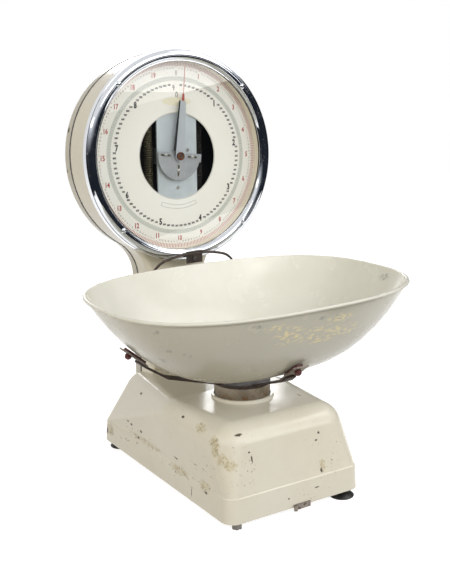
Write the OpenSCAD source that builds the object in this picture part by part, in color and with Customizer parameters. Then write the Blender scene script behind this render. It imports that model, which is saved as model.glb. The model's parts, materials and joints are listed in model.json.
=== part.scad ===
// Counter weighing scale: a round glazed dial on a column, a wedge-shaped base
// and a loose oval pan held by a sprung spider. Millimetres.
// +Z is up, the dial looks towards -Y, the ground is z = 0 and x = 0 is the middle.

/* [Dial head] */
// Height of the dial centre above the ground
dial_z = 448.5; // [435:1:480]
// How far the face plane (widest plane of the bezel) lies behind the origin
face_y = 121; // [100:1:140]
// Outer radius of the chrome bezel
bezel_r = 152.5; // [150:0.5:175]
// Radial width of the bezel
bezel_w = 16.6; // [15:0.1:18]
// How far the bezel bulges in front of the face plane
bezel_rise = 6.7; // [5:0.1:8]
// Length of the bezel's skirt over the drum
bezel_skirt = 8; // [6:0.5:12]
// Gap between the bezel's outside and the drum's outside
bezel_over = 2.5; // [2:0.1:4]
// Wall of the front housing
housing_wall = 4; // [3:0.5:5]
// Wall of the rear cover
cover_wall = 3; // [2.5:0.5:5]
// Depth of the dial chart behind the face plane
chart_back = 15; // [12:0.5:16]
// Thickness of the dial chart
chart_t = 1.2; // [0.8:0.1:2]
// Radius of the round aperture in the chart
aperture_r = 62.6; // [50:0.2:70]
// Thickness of the dial glass
glass_t = 3; // [2:0.5:4]
// Depth of the seam between housing and cover behind the face plane
seam_back = 60; // [54:1:66]
// Depth of the rear of the head behind the face plane
case_back = 88.8; // [84:0.1:110]
// Rounding of the cover's rear edge
back_round = 12; // [6:0.5:14]

/* [Column] */
// Width of the column
col_w = 96; // [88:0.5:116]
// Depth of the column's front behind the face plane
col_front = 22; // [20:0.5:26]
// Rounding of the column's front edges
col_round = 8; // [6:0.5:10]
// Radius of the fillets that spread the column into the drum
web_r = 66; // [50:1:80]
// Height of the column's foot above the ground
col_foot_z = 90; // [84:1:98]

/* [Base] */
// Width of the base
base_w = 211.6; // [200:0.2:260]
// How far the base reaches in front of the face plane
base_ahead = 280.3; // [270:0.1:330]
// Height of the casing's lower edge
base_lift = 12.5; // [11:0.5:16]
// Height of the crease above the plinth band
crease_z = 44.8; // [38:0.1:50]
// How far the plinth band leans in from its lower edge to the crease
plinth_draft = 2; // [0:0.1:4]
// Height of the top at its front edge
top_front_z = 126; // [118:0.5:128]
// Height of the top at its middle
top_mid_z = 128; // [120:0.5:130]
// Height of the top at its back edge
top_back_z = 118; // [114:0.5:130]
// Plan radius of the plinth's front corners
corner_front = 17; // [12:1:35]
// Plan radius of the plinth's back corners
corner_back = 20; // [10:1:25]
// How far the front of the top is set back from the plinth
top_set_back = 17; // [12:0.2:30]
// How far the sides of the top are set in at the front
top_set_in = 2; // [1:0.1:15]
// How far the sides of the top are set in at the back
top_back_in = 29; // [20:0.2:40]
// Rounding of the shoulders at the front
shoulder_front = 36; // [18:1:40]
// Rounding of the shoulders at the back
shoulder_back = 36; // [20:1:40]
// Wall of the casing
base_wall = 4; // [3:0.5:5]
// Thickness of the base plate
plate_t = 3; // [2:0.5:5]

/* [Pan] */
// Length of the pan over its rim
pan_l = 438.6; // [400:1:530]
// Width of the pan over its rim
pan_w = 310; // [280:1:330]
// Depth of the pan
pan_depth = 116.7; // [95:0.1:125]
// Height of the middle of the rim's plane
pan_rim_z = 286; // [280:0.5:300]
// Squareness of the rim's outline, 2 is an ellipse
pan_square = 2.67; // [2:0.01:3.2]
// How fast the bowl steepens towards the rim
pan_power = 3.3; // [2.6:0.1:4]
// Thickness of the pan
pan_t = 1.6; // [1.2:0.1:2.5]
// Radius of the rolled rim
bead_r = 2.4; // [1.8:0.1:3]
// How far the middle of the pan lies in front of the face plane
pan_ahead = 174; // [170:1:200]
// How far the pan's right end stands up, in degrees
pan_cant = 1.5; // [0:0.1:2]
// How far the pan's back stands up, in degrees
pan_pitch = 2; // [0:0.1:3]

/* [Spigot and spider] */
// How far the spigot's axis lies in front of the face plane
spigot_ahead = 152; // [150:1:165]
// Outer radius of the spigot's collar
collar_r = 38.5; // [32:0.5:42]
// Height of the collar's top
collar_top_z = 146; // [140:0.5:150]
// Radius of the spigot's stem
stem_r = 8; // [6:0.5:10]
// Radius of the spider's disc
disc_r = 39; // [34:0.5:48]
// Thickness of the spider's disc
disc_t = 5; // [4:0.5:8]
// Width of the spider's arms
arm_w = 16; // [12:1:22]
// Thickness of the spider's arms
arm_t = 3; // [2.5:0.1:4]
// Where a side arm is bent, as a fraction of the pan's half-length
knee_share = 0.56; // [0.45:0.01:0.62]
// How far the bend lies below the pan
knee_drop = 11.5; // [6:0.5:16]
// Length of the end plates along the arms
clip_l = 36; // [30:1:44]
// Width of the end plates
clip_w = 24; // [20:1:28]
// Thickness of the end plates
clip_t = 2; // [1.5:0.1:3]
// Width of a buffer's pad
buffer_w = 15; // [10:0.5:18]
// Thickness of a buffer's pad
buffer_t = 3; // [2:0.1:6]
// Radius of a buffer's pip
pip_r = 4.5; // [3:0.5:6]
// How far a buffer's pip sits above the middle of its plate
pip_up = 8; // [0:0.5:9]
// Wire radius of the back hoop
hoop_wire_r = 2; // [1.5:0.1:2.5]
// Half the width of the back hoop
hoop_half = 70; // [55:1:80]
// How far the hoop's top stands above the rim's plane
hoop_rise = 14.5; // [10:0.5:20]
// How far the hoop's middle is bent to the right
hoop_bent = 11; // [0:1:14]
// Gap between the pan's rim and the hoop's wire
hoop_gap = 4.4; // [3:0.1:6]

/* [Movement] */
// Travel of the pan at full load
travel = 8; // [5:0.5:8]
// Lever arm from fulcrum to spigot
load_arm = 80; // [70:1:90]
// Height of the lever
lever_z = 62; // [58:1:66]
// Distance of the draw rod behind the face plane
rod_back = 40; // [38:0.5:44]
// Radius of the draw rod
rod_r = 3; // [2:0.5:4]
// Number of teeth on the pinion
pinion_teeth = 12; // [10:1:16]
// Sideways distance of a load spring from the spindle
spring_x = 42; // [40:0.5:48]
// Distance of the load springs behind the face plane
spring_back = 30; // [28:0.5:33]
// Mean radius of a load spring
spring_r = 6.6; // [5:0.1:7.5]
// Wire radius of a load spring
spring_wire_r = 0.95; // [0.7:0.05:1.1]
// Turns of a load spring
spring_turns = 38; // [20:1:40]
// Pitch of a load spring at rest
spring_pitch = 3.3; // [3:0.05:3.4]
// Width of the mechanism plate
mech_w = 66; // [60:0.5:68]
// How far the pointer stands past zero at rest, in degrees
pointer_lead = 5; // [0:0.5:8]
// Radius of the half-round counterweight
counter_r = 35; // [28:0.5:38]
// Radius at which the pointer's blade ends
blade_r = 80; // [70:1:85]
// Radius at which the hairline ends
hair_r = 133; // [110:1:134]

/* [Feet] */
// Sideways distance of a foot from the middle
foot_x = 84; // [70:0.5:86]
// Distance of the feet from the ends of the base
foot_inset = 15.6; // [14:0.2:22]
// Distance of the back feet from the back of the base
foot_back_inset = 22.8; // [20:0.2:30]
// Radius of a rubber foot
pad_r = 17; // [14:0.5:20]
// Height of a rubber foot
pad_h = 9; // [7:0.5:10]
// Radius of a foot's stud
stud_r = 4; // [3:0.5:5]
// How far a foot can be screwed out
foot_travel = 5; // [3:0.5:6]

/* [Fits] */
// Gap all round a part that seats in a pocket
seat_gap = 0.15; // [0.1:0.05:0.3]
// Radial clearance of a shaft in its bearing
run_gap = 0.05; // [0.02:0.01:0.08]
// Gap between moving parts that don't touch
free_gap = 0.3; // [0.3:0.05:0.5]

/* [Hidden] */
$fn = 96;
eps = 0.01;
cut = 1;
hull_fn = 48;
inner_fn = 24;

drum_r = bezel_r - bezel_over;
bezel_in = bezel_r - bezel_w;
drum_front = 4;
drum_in = drum_r - housing_wall;
glass_r = bezel_in + 4.4;
glass_front = -1;
glass_back = glass_front + glass_t;
rim_front = glass_front;
chart_r = drum_in - 1;
gasket_t = 1;
bezel_screw_r = bezel_r - 9.4;
bezel_screw_seat = -5.4;
screw_angles = [45, 135, 225, 315];

col_half = col_w / 2;
web_x = col_half + web_r;
web_bite = 0.05;
web_z = -sqrt(pow(drum_r + web_r - web_bite, 2) - pow(web_x, 2));
foot_drop = dial_z - col_foot_z;
foot_plate_t = 6;

base_front = face_y - base_ahead;
base_back = face_y + case_back;
base_half = base_w / 2;
crease_step = 1.2;
band_top = crease_z - crease_step;
shoulder_mid = 22.5;
top_mid_y = base_front + 164;
top_mid_in = top_set_in - 1.5;
plate_z = base_lift + 0.5;
plate_top = plate_z + plate_t;
plate_in = base_wall + free_gap + plinth_draft * (plate_top - base_lift) / (band_top - base_lift);
lug_h = 24;
lug_ys = [base_front + 80, base_back - 78];
lug_x = base_half - 14;

spigot_y = face_y - spigot_ahead;
lip_in = collar_r + 1;
lip_out = collar_r + 4;
lip_top_z = 131;
lip_foot_z = 126.4;
lip_fillet = 3;
guide_seat_z = 100;
guide_flange_t = 4;
disc_z = collar_top_z;

pan_a = pan_l / 2 - bead_r;
pan_b = pan_w / 2 - bead_r;
pan_y = face_y - pan_ahead;
wall_drop = bead_r;
side_pad = 0.74;
front_pad = 0.615;
back_pad = 0.7;

fulcrum_y = spigot_y - load_arm;
rod_y = face_y + rod_back;
lever_ratio = (rod_y - fulcrum_y) / load_arm;
rod_travel = travel * lever_ratio;
pinion_r = rod_travel / (2 * PI);
tooth_module = 2 * pinion_r / pinion_teeth;
mesh_gap = 0.15;
backlash = 0.12;
lever_pin_r = 3;
lever_inner = 9;
lever_bar = 4;

mech_front = chart_back + chart_t + 0.8;
mech_t = 3;
mech_back = mech_front + mech_t;
mech_half_h = 138;
spindle_r = 2.5;
bush_r = 5;
pinion_front = 33;
pinion_back = 39;
bracket_back = 56;
coil_half = spring_turns * spring_pitch / 2;
coil_end = 4;
anchor_z = coil_half + coil_end;
cross_z = -coil_half - coil_end;
cross_h = 8;
dash_z = 150;
dash_back = rod_back + 28;
arm_z = 232;

foot_front_y = base_front + foot_inset;
foot_back_y = base_back - foot_back_inset;
head_af = 12;
head_h = 8;
pad_head_z = 1;

// A profile of radius and depth turned about the dial's axis
module turned() {
    rotate([-90, 0, 0]) rotate_extrude() children();
}

// An outline seen from the front, from depth y0 back to y1
module front_slab(y0, y1) {
    translate([0, y1, 0]) rotate([90, 0, 0]) linear_extrude(y1 - y0) children();
}

// An outline in y and z, from x0 to x1
module side_slab(x0, x1) {
    translate([x0, 0, 0]) rotate([90, 0, 90]) linear_extrude(x1 - x0) children();
}

// Places dial parts: local y is depth behind the face, local z is height over the centre
module at_dial() {
    translate([0, face_y, dial_z]) children();
}

// A shaft or hole along y
module rod_y(r, y0, y1) {
    translate([0, y0, 0]) rotate([-90, 0, 0]) cylinder(r = r, h = y1 - y0);
}

// A shaft or hole along x
module rod_x(r, x0, x1) {
    translate([x0, 0, 0]) rotate([0, 90, 0]) cylinder(r = r, h = x1 - x0);
}

module box(x0, x1, y0, y1, z0, z1) {
    translate([x0, y0, z0]) cube([x1 - x0, y1 - y0, z1 - z0]);
}

// A ring or tube standing on z0
module ring(r_out, r_in, z0, z1) {
    difference() {
        translate([0, 0, z0]) cylinder(r = r_out, h = z1 - z0);
        translate([0, 0, z0 - cut]) cylinder(r = r_in, h = z1 - z0 + 2 * cut);
    }
}

// Front view of drum, column and the fillets between them, drawn inset from the outside
module head_outline(inset) {
    circle(r = drum_r - inset);
    translate([-col_half + inset, -foot_drop + inset]) square([col_w - 2 * inset, foot_drop]);
    difference() {
        polygon([[0, 0], [web_x, web_z], [-web_x, web_z]]);
        for (side = [-1, 1]) translate([side * web_x, web_z]) circle(r = web_r + inset);
    }
}

// Column and fillets as a solid with its far edges rounded.
// It runs from the seam (local y = 0) to depth, inset from the outside all round
module neck(depth, round_r, inset, foot) {
    half = col_half - inset;
    drop = foot_drop - foot;
    translate([0, 0, -drop]) linear_extrude(drop) {
        translate([-half, 0]) square([2 * half, depth - round_r]);
        translate([-half + round_r, 0]) square([2 * (half - round_r), depth]);
        for (side = [-1, 1]) translate([side * (half - round_r), depth - round_r]) circle(r = round_r);
    }
    difference() {
        front_slab(0, depth) polygon([[0, 0], [web_x, web_z], [-web_x, web_z]]);
        for (side = [-1, 1]) translate([side * web_x, 0, web_z]) web_cutter(depth, round_r, web_r + inset);
    }
}

// The flared tool that leaves a fillet with a rounded edge
module web_cutter(depth, round_r, r) {
    turned() {
        translate([0, -cut]) square([r, depth + 2 * cut]);
        difference() {
            translate([r - eps, depth - round_r]) square([round_r + eps, round_r + cut]);
            translate([r + round_r, depth - round_r]) circle(r = round_r);
        }
    }
}

// The drum's round part from y0 to y1 with its far edge rounded
module drum(r, y0, y1, round_r) {
    turned() {
        translate([0, y0]) square([r, y1 - y0 - round_r]);
        translate([0, y0]) square([r - round_r, y1 - y0]);
        translate([r - round_r, y1 - round_r]) circle(r = round_r);
    }
}

// Plan outline of the plinth
module plinth_outline(inset) {
    half = base_half - inset;
    rf = corner_front - inset;
    rb = corner_back - inset;
    y0 = base_front + inset;
    y1 = base_back - inset;
    translate([-half + rf, y0]) square([2 * (half - rf), y1 - y0]);
    translate([-half, y0 + rf]) square([2 * half, y1 - rb - y0 - rf]);
    translate([-half + rb, y0 + rf]) square([2 * (half - rb), y1 - y0 - rf]);
    for (side = [-1, 1]) {
        translate([side * (half - rf), y0 + rf]) circle(r = rf);
        translate([side * (half - rb), y1 - rb]) circle(r = rb);
    }
}

// A thin slice of the plinth band at a height
module band_slice(inset, z0, sides) {
    for (side = [-1, 1]) {
        translate([side * (base_half - corner_front), base_front + corner_front, z0])
            cylinder(r = corner_front - inset, h = eps, $fn = sides);
        translate([side * (base_half - corner_back), base_back - corner_back, z0])
            cylinder(r = corner_back - inset, h = eps, $fn = sides);
    }
}

// A pair of shoulder balls: half the width over both, their y, top height and rounding
module shoulder(half, y_centre, z_top, r, inset, sides) {
    for (side = [-1, 1]) translate([side * (half - r), y_centre, z_top - r])
        sphere(r = r - inset, $fn = sides);
}

// The casing's whole form drawn inset from the outside: leaning band, crease and rounded wedge
module casing_form(inset, z_low, sides) {
    hull() {
        band_slice(inset, z_low, sides);
        band_slice(inset + plinth_draft, band_top, sides);
    }
    hull() {
        band_slice(inset + plinth_draft, band_top, sides);
        band_slice(inset + plinth_draft + crease_step, crease_z, sides);
    }
    hull() {
        band_slice(inset + plinth_draft + crease_step, crease_z, sides);
        shoulder(base_half - top_set_in, base_front + top_set_back + shoulder_front, top_front_z,
            shoulder_front, inset, sides);
        shoulder(base_half - top_mid_in, top_mid_y, top_mid_z, shoulder_mid, inset, sides);
        shoulder(base_half - top_back_in, base_back - shoulder_back, top_back_z,
            shoulder_back, inset, sides);
    }
}

// The raised lip round the spigot with a fillet at its foot
module spigot_lip() {
    translate([0, spigot_y, guide_seat_z]) cylinder(r = lip_out, h = lip_top_z - guide_seat_z);
    translate([0, spigot_y, 0]) rotate_extrude() {
        translate([0, lip_foot_z - 2]) square([lip_out + lip_fillet, 2 + eps]);
        difference() {
            translate([0, lip_foot_z]) square([lip_out + lip_fillet, lip_fillet]);
            translate([lip_out + lip_fillet, lip_foot_z + lip_fillet]) circle(r = lip_fillet);
        }
    }
}

// The column's outline in plan with a gap round it, used for its pocket
module column_pocket(gap) {
    box(-col_half - gap, col_half + gap, face_y + col_front - gap, base_back + cut,
        col_foot_z, top_mid_z + cut);
}

module base_casing() {
    color("ivory") difference() {
        union() {
            casing_form(0, base_lift, hull_fn);
            spigot_lip();
        }
        difference() {
            casing_form(base_wall, base_lift - cut, inner_fn);
            translate([0, spigot_y, guide_seat_z]) cylinder(r = lip_out, h = lip_top_z);
            box(-col_half - base_wall, col_half + base_wall, face_y + col_front - base_wall, base_back,
                col_foot_z - foot_plate_t, top_back_z);
            for (side = [-1, 1]) for (y = lug_ys) translate([side * lug_x, y, 0])
                box(min(-side * 8, side * 14), max(-side * 8, side * 14), -8, 8, plate_top, plate_top + lug_h);
        }
        translate([0, spigot_y, 0]) cylinder(r = lip_in, h = lip_top_z + cut);
        column_pocket(seat_gap);
        box(-20, 20, face_y + 32, base_back - 20, crease_z, top_back_z);
        for (p = column_bolt_places()) translate([p[0], p[1], crease_z]) cylinder(r = 3.2, h = foot_plate_t * 9);
        for (side = [-1, 1]) for (y = lug_ys)
            translate([side * lug_x, y, plate_top - cut]) cylinder(r = 1.8, h = 17);
    }
}

function column_bolt_places() = [for (x = [-32, 32]) for (y = [face_y + 34, face_y + 50]) [x, y]];

module base_plate() {
    color("dimgray") difference() {
        translate([0, 0, plate_z]) linear_extrude(plate_t) plinth_outline(plate_in);
        for (p = foot_places()) translate([p[0], p[1], 0]) cylinder(r = stud_r + free_gap, h = crease_z);
        for (side = [-1, 1]) for (y = lug_ys) translate([side * lug_x, y, 0]) cylinder(r = 2.2, h = crease_z);
    }
}

// Four screws from below into the casing's lugs
module base_screws() {
    color("silver") for (side = [-1, 1]) for (y = lug_ys) translate([side * lug_x, y, 0]) {
        translate([0, 0, plate_z - 2.2]) cylinder(r = 4, h = 2.2);
        translate([0, 0, plate_z - eps]) cylinder(r = 1.8, h = plate_t + 12);
    }
}

function foot_places() = [[-foot_x, foot_front_y], [foot_x, foot_front_y],
    [-foot_x, foot_back_y], [foot_x, foot_back_y]];

module foot_nuts() {
    color("silver") for (p = foot_places()) translate([p[0], p[1], plate_top]) difference() {
        cylinder(r = 8, h = 7, $fn = 6);
        translate([0, 0, -cut]) cylinder(r = stud_r + run_gap, h = 7 + 2 * cut);
    }
}

// A levelling stud with a slotted hexagon head
module foot_stud(place, head_z) {
    color("silver") translate([place[0], place[1], 0]) difference() {
        union() {
            translate([0, 0, head_z]) cylinder(d = head_af / cos(30), h = head_h, $fn = 6);
            translate([0, 0, head_z]) cylinder(r = stud_r, h = 38 - head_z);
        }
        translate([0, 0, head_z - cut]) box(-0.8, 0.8, -head_af, head_af, 0, 2 + cut);
    }
}

module foot_stud_fl() { foot_stud(foot_places()[0], 0); }
module foot_stud_fr() { foot_stud(foot_places()[1], pad_head_z); }
module foot_stud_rl() { foot_stud(foot_places()[2], pad_head_z); }
module foot_stud_rr() { foot_stud(foot_places()[3], pad_head_z); }

// A domed rubber foot with a round socket for the stud's head
module foot_pad(place) {
    edge_z = 2;
    dome_h = pad_h - edge_z;
    dome_r = (pad_r * pad_r + dome_h * dome_h) / (2 * dome_h);
    color("#1b1b1b") translate([place[0], place[1], 0]) rotate_extrude() difference() {
        union() {
            square([pad_r - edge_z, edge_z]);
            intersection() {
                translate([pad_r - edge_z, edge_z]) circle(r = edge_z);
                translate([pad_r - edge_z, 0]) square(edge_z);
            }
            intersection() {
                translate([0, edge_z]) square([pad_r, dome_h]);
                translate([0, pad_h - dome_r]) circle(r = dome_r);
            }
        }
        translate([0, pad_head_z]) square([head_af / 2 / cos(30) + 0.1, pad_h]);
    }
}

module foot_pad_fr() { foot_pad(foot_places()[1]); }
module foot_pad_rl() { foot_pad(foot_places()[2]); }
module foot_pad_rr() { foot_pad(foot_places()[3]); }

// Small clip with a rolled end on the plinth's front lower edge
module front_clip() {
    color("dimgray") translate([6, base_front, base_lift]) {
        box(-12, 12.5, -1.5, 0, -3.5, 4);
        box(-12, 12.5, -1.5, 3.5, -1.5, 0);
        translate([-12, -2.5, -3.5]) difference() {
            cylinder(r = 2.5, h = 7.5);
            translate([0, 0, -cut]) cylinder(r = 1.2, h = 7.5 + 2 * cut);
        }
        translate([4, 0, 0.5]) rod_y(2, -2.6, -1.5);
    }
}

module front_housing() {
    color("ivory") difference() {
        union() {
            difference() {
                union() {
                    at_dial() drum(drum_r, drum_front, seam_back, eps);
                    at_dial() translate([0, seam_back, 0]) mirror([0, 1, 0])
                        neck(seam_back - col_front, col_round, 0, 0);
                }
                at_dial() rod_y(drum_in, chart_back, seam_back + cut);
                at_dial() translate([0, seam_back + eps, 0]) mirror([0, 1, 0])
                    neck(seam_back - col_front - housing_wall + eps, col_round - housing_wall,
                        housing_wall, foot_plate_t);
                at_dial() translate([0, seam_back, 0]) box(-col_half + housing_wall, col_half - housing_wall,
                    -eps, cut, -foot_drop + foot_plate_t, 0);
            }
            at_dial() turned() translate([glass_r + 0.2, rim_front])
                square([drum_r - glass_r - 0.2, drum_front - rim_front + eps]);
            at_dial() mech_bars();
            at_dial() cover_posts();
        }
        at_dial() rod_y(bezel_in, -2 * drum_front, chart_back + cut);
        at_dial() for (a = screw_angles) rotate([0, a, 0])
            translate([bezel_screw_r, 0, 0]) rod_y(1.6, rim_front - cut, 10);
        at_dial() for (a = chart_angles()) rotate([0, a, 0])
            translate([chart_screw_r(), 0, 0]) rod_y(1.2, chart_back - 6, chart_back + cut);
        at_dial() for (p = plate_screw_places())
            translate([p[0], 0, p[1]]) rod_y(1.6, mech_back - cut, mech_back + 7);
        at_dial() for (p = cover_screw_places())
            translate([p[0], 0, p[1]]) rod_y(1.6, case_back - cover_wall - 10, case_back);
        for (p = column_bolt_places()) translate([p[0], p[1], col_foot_z - cut]) cylinder(r = 3, h = 5);
        translate([0, rod_y, col_foot_z - cut]) cylinder(r = 12, h = foot_plate_t + 2 * cut);
    }
}

// Cross bars inside the drum that carry the mechanism plate
module mech_bars() {
    for (side = [0, 1]) mirror([0, 0, side]) front_slab(mech_back, mech_back + 9) intersection() {
        circle(r = drum_in + 2);
        translate([-66, mech_half_h - 12]) square([132, 14]);
    }
}

function plate_screw_places() = [for (x = [-24, 24]) for (z = [-1, 1]) [x, z * (mech_half_h - 6)]];
function chart_angles() = [20, 160, 200, 340];
function chart_screw_r() = (bezel_in + drum_in) / 2;

// Posts that take the cover screws: four in the drum, two in the column
function drum_post_r() = drum_in - 18;
function drum_posts() = [for (a = screw_angles) [drum_post_r() * cos(a), drum_post_r() * sin(a)]];
function col_posts() = [for (side = [-1, 1]) [side * (col_half - back_round - cover_wall - 2), 100 - foot_drop]];
function cover_screw_places() = concat(drum_posts(), col_posts());

module cover_posts() {
    post_back = case_back - cover_wall - run_gap;
    for (a = screw_angles) rotate([0, -a, 0]) {
        translate([drum_post_r(), 0, 0]) rod_y(5, mech_back + 12, post_back);
        box(drum_post_r(), drum_in + 2, mech_back + 12, seam_back - 4, -2, 2);
    }
    for (p = col_posts()) translate([p[0], 0, p[1]]) rod_y(4, col_front + housing_wall - eps, post_back);
}

module rear_cover() {
    depth = case_back - seam_back - gasket_t;
    color("ivory") difference() {
        at_dial() union() {
            drum(drum_r, seam_back + gasket_t, case_back, back_round);
            translate([0, seam_back + gasket_t, 0]) neck(depth, back_round, 0, 0);
        }
        at_dial() drum(drum_r - cover_wall, seam_back, case_back - cover_wall, back_round - cover_wall);
        at_dial() translate([0, seam_back + gasket_t - eps, 0])
            neck(depth - cover_wall, back_round - cover_wall, cover_wall, cover_wall);
        at_dial() for (p = cover_screw_places())
            translate([p[0], 0, p[1]]) rod_y(2.1, case_back - 2 * cover_wall, case_back + cut);
    }
}

module cover_screws() {
    color("silver") at_dial() for (p = cover_screw_places()) translate([p[0], 0, p[1]]) {
        rod_y(4.5, case_back, case_back + 2.2);
        rod_y(1.6, case_back - cover_wall - 8, case_back + eps);
    }
}

// Black strip in the seam, a little below the outside
module seam_gasket() {
    color("#202020") at_dial() front_slab(seam_back, seam_back + gasket_t) difference() {
        head_outline(0.8);
        head_outline(cover_wall);
    }
}

module bezel() {
    half = bezel_w / 2;
    bulge_r = (half * half + bezel_rise * bezel_rise) / (2 * bezel_rise);
    color("gainsboro") at_dial() difference() {
        turned() difference() {
            union() {
                intersection() {
                    translate([bezel_r - half, bulge_r - bezel_rise]) circle(r = bulge_r);
                    translate([bezel_in, -2 * bezel_rise]) square([bezel_w, 2 * bezel_rise]);
                }
                translate([bezel_in, glass_front - 1.2]) square([bezel_w, 1.2]);
                translate([drum_r + 0.2, glass_front - 1.2]) square([bezel_over - 0.2, bezel_skirt + 2.2]);
            }
            translate([bezel_in - cut, glass_front]) square([drum_r + 0.2 - bezel_in + cut, bezel_skirt]);
        }
        for (a = screw_angles) rotate([0, a, 0]) translate([bezel_screw_r, 0, 0]) {
            rod_y(1.8, -bezel_rise - cut, cut);
            rod_y(4.2, -2 * bezel_rise, bezel_screw_seat);
        }
    }
}

// Four domed screws round the bezel
module bezel_screws() {
    color("silver") at_dial() for (a = screw_angles) rotate([0, a, 0]) translate([bezel_screw_r, 0, 0]) {
        rod_y(1.55, bezel_screw_seat - eps, 8);
        intersection() {
            rod_y(4, bezel_screw_seat - 4, bezel_screw_seat);
            translate([0, bezel_screw_seat + 1.5, 0]) sphere(r = 4.8);
        }
    }
}

module glass() {
    color("lightcyan", 0.3) at_dial() rod_y(glass_r, glass_front, glass_back);
}

module glass_gasket() {
    color("#303030") at_dial() turned() translate([bezel_in + 0.3, glass_back])
        square([glass_r - bezel_in - 0.3, drum_front - glass_back]);
}

module dial_chart() {
    color("#efece0") at_dial() difference() {
        rod_y(chart_r, chart_back, chart_back + chart_t);
        rod_y(aperture_r, 0, chart_back + 2 * chart_t);
        for (a = chart_angles()) rotate([0, a, 0])
            translate([chart_screw_r(), 0, 0]) rod_y(1.5, chart_back - cut, chart_back + chart_t + cut);
    }
}

module chart_screws() {
    color("silver") at_dial() for (a = chart_angles()) rotate([0, a, 0]) translate([chart_screw_r(), 0, 0]) {
        rod_y(2.6, chart_back + chart_t, chart_back + chart_t + 1.6);
        rod_y(1.15, chart_back - 5, chart_back + chart_t + eps);
    }
}

// The blue-grey upright that carries the movement
module mechanism_plate() {
    color("#8d9aa3") at_dial() difference() {
        front_slab(mech_front, mech_back) translate([-mech_w / 2, -mech_half_h])
            square([mech_w, 2 * mech_half_h]);
        rod_y(bush_r, mech_front - cut, mech_back + cut);
        for (p = plate_screw_places()) translate([p[0], 0, p[1]]) rod_y(1.9, mech_front - cut, mech_back + cut);
        for (p = bracket_screw_places()) translate([p[0], 0, p[1]]) rod_y(1.6, mech_front - cut, mech_back + cut);
    }
}

function bracket_screw_places() = [[-17, -9], [17, 9], [0, -46]];

// Screws that hold the plate to its bars and the bracket to the plate
module plate_screws() {
    color("gainsboro") at_dial() {
        for (p = plate_screw_places()) translate([p[0], 0, p[1]]) {
            rod_y(2.8, mech_front - 0.7, mech_front);
            rod_y(1.5, mech_front - eps, mech_back + 6);
        }
        for (p = bracket_screw_places()) translate([p[0], 0, p[1]]) {
            rod_y(2.8, mech_front - 0.7, mech_front);
            rod_y(1.5, mech_front - eps, mech_back);
        }
    }
}

module front_bearing() {
    color("goldenrod") at_dial() difference() {
        union() {
            rod_y(bush_r, mech_front - eps, mech_back + 4);
            rod_y(bush_r + 2, mech_front - 1.2, mech_front);
        }
        rod_y(spindle_r + run_gap, 0, mech_back + 6);
    }
}

// Bridge behind the plate with the rear bearing
module bearing_bracket() {
    color("#7b868e") at_dial() difference() {
        union() {
            for (side = [-1, 1]) {
                box(side * 20.5 - 1.5, side * 20.5 + 1.5, mech_back, bracket_back, -12, 12);
                box(min(side * 12, side * 22), max(side * 12, side * 22), mech_back, mech_back + 3, -12, 12);
            }
            box(-22, 22, bracket_back - 3, bracket_back, -12, 12);
        }
        rod_y(bush_r, mech_back, bracket_back + cut);
    }
}

module rear_bearing() {
    color("goldenrod") at_dial() difference() {
        rod_y(bush_r, bracket_back - 5, bracket_back + 2);
        rod_y(spindle_r + run_gap, mech_back, bracket_back + 4);
    }
}

// Bar that the load springs hang from
module spring_anchor() {
    color("#5c6268") at_dial() box(-spring_x - 10, spring_x + 10, mech_back, spring_back + 7,
        anchor_z, anchor_z + 10);
}

// Points of a coil: straight up, a quarter turn of easing, the turns, and the same again
steps = 8;
ease = 3;
function coil_angle(i) = i <= 0 ? 0 : i >= spring_turns * steps ? 360 * spring_turns : i * 360 / steps;
function coil_point(i) = [spring_r * cos(coil_angle(i)), spring_r * sin(coil_angle(i)),
    -coil_half + spring_pitch * i / steps];
function ease_point(k) = let(u = k / ease * 90, a = -60 * sin(u), h = -3 * (1 - cos(u)) - spring_pitch * sin(u) / 9)
    [spring_r * cos(a), spring_r * sin(a), -coil_half + h];
function end_point(z) = [spring_r * cos(-60), spring_r * sin(-60), z];
function flip(p) = [p[0] * cos(360 * spring_turns) , -p[1], -p[2]];
lower_end = concat([end_point(cross_z), end_point(cross_z + 0.3)], [for (k = [ease:-1:1]) ease_point(k)]);
coil_path = concat(lower_end, [for (i = [0:spring_turns * steps]) coil_point(i)],
    [for (k = [len(lower_end) - 1:-1:0]) flip(lower_end[k])]);

function unit(v) = v / norm(v);
function path_tangent(p, i) = unit(p[min(i + 1, len(p) - 1)] - p[max(i - 1, 0)]);

// One unbroken round tube along points, its rings kept square by a reference direction per point
module tube(path, refs, r, sides) {
    n = len(path);
    rings = [for (i = [0:n - 1]) let(t = path_tangent(path, i), b = unit(cross(t, refs[i])), a = cross(b, t))
        for (k = [0:sides - 1]) path[i] + r * (cos(360 * k / sides) * a + sin(360 * k / sides) * b)];
    walls = [for (i = [0:n - 2]) for (k = [0:sides - 1]) let(m = (k + 1) % sides)
        each [[i * sides + k, (i + 1) * sides + m, i * sides + m],
            [i * sides + k, (i + 1) * sides + k, (i + 1) * sides + m]]];
    caps = [[for (k = [0:sides - 1]) k], [for (k = [sides - 1:-1:0]) (n - 1) * sides + k]];
    polyhedron(concat(rings), concat(walls, caps), convexity = 20);
}

coil_refs = [for (p = coil_path) unit([p[0], p[1], 0])];
coil_gap = min([for (i = [0:2:len(coil_path) - 1]) for (j = [i + steps - 2:i + steps + 2])
    if (j < len(coil_path) && j - i > steps / 2) norm(coil_path[i] - coil_path[j])]) - 2 * spring_wire_r;
echo(load_spring_gap = coil_gap);

module load_spring(side) {
    color("#2b2b2b") at_dial() translate([side * spring_x, spring_back, 0])
        tube(coil_path, coil_refs, spring_wire_r, 6);
}

module load_spring_left() { load_spring(-1); }
module load_spring_right() { load_spring(1); }

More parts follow.
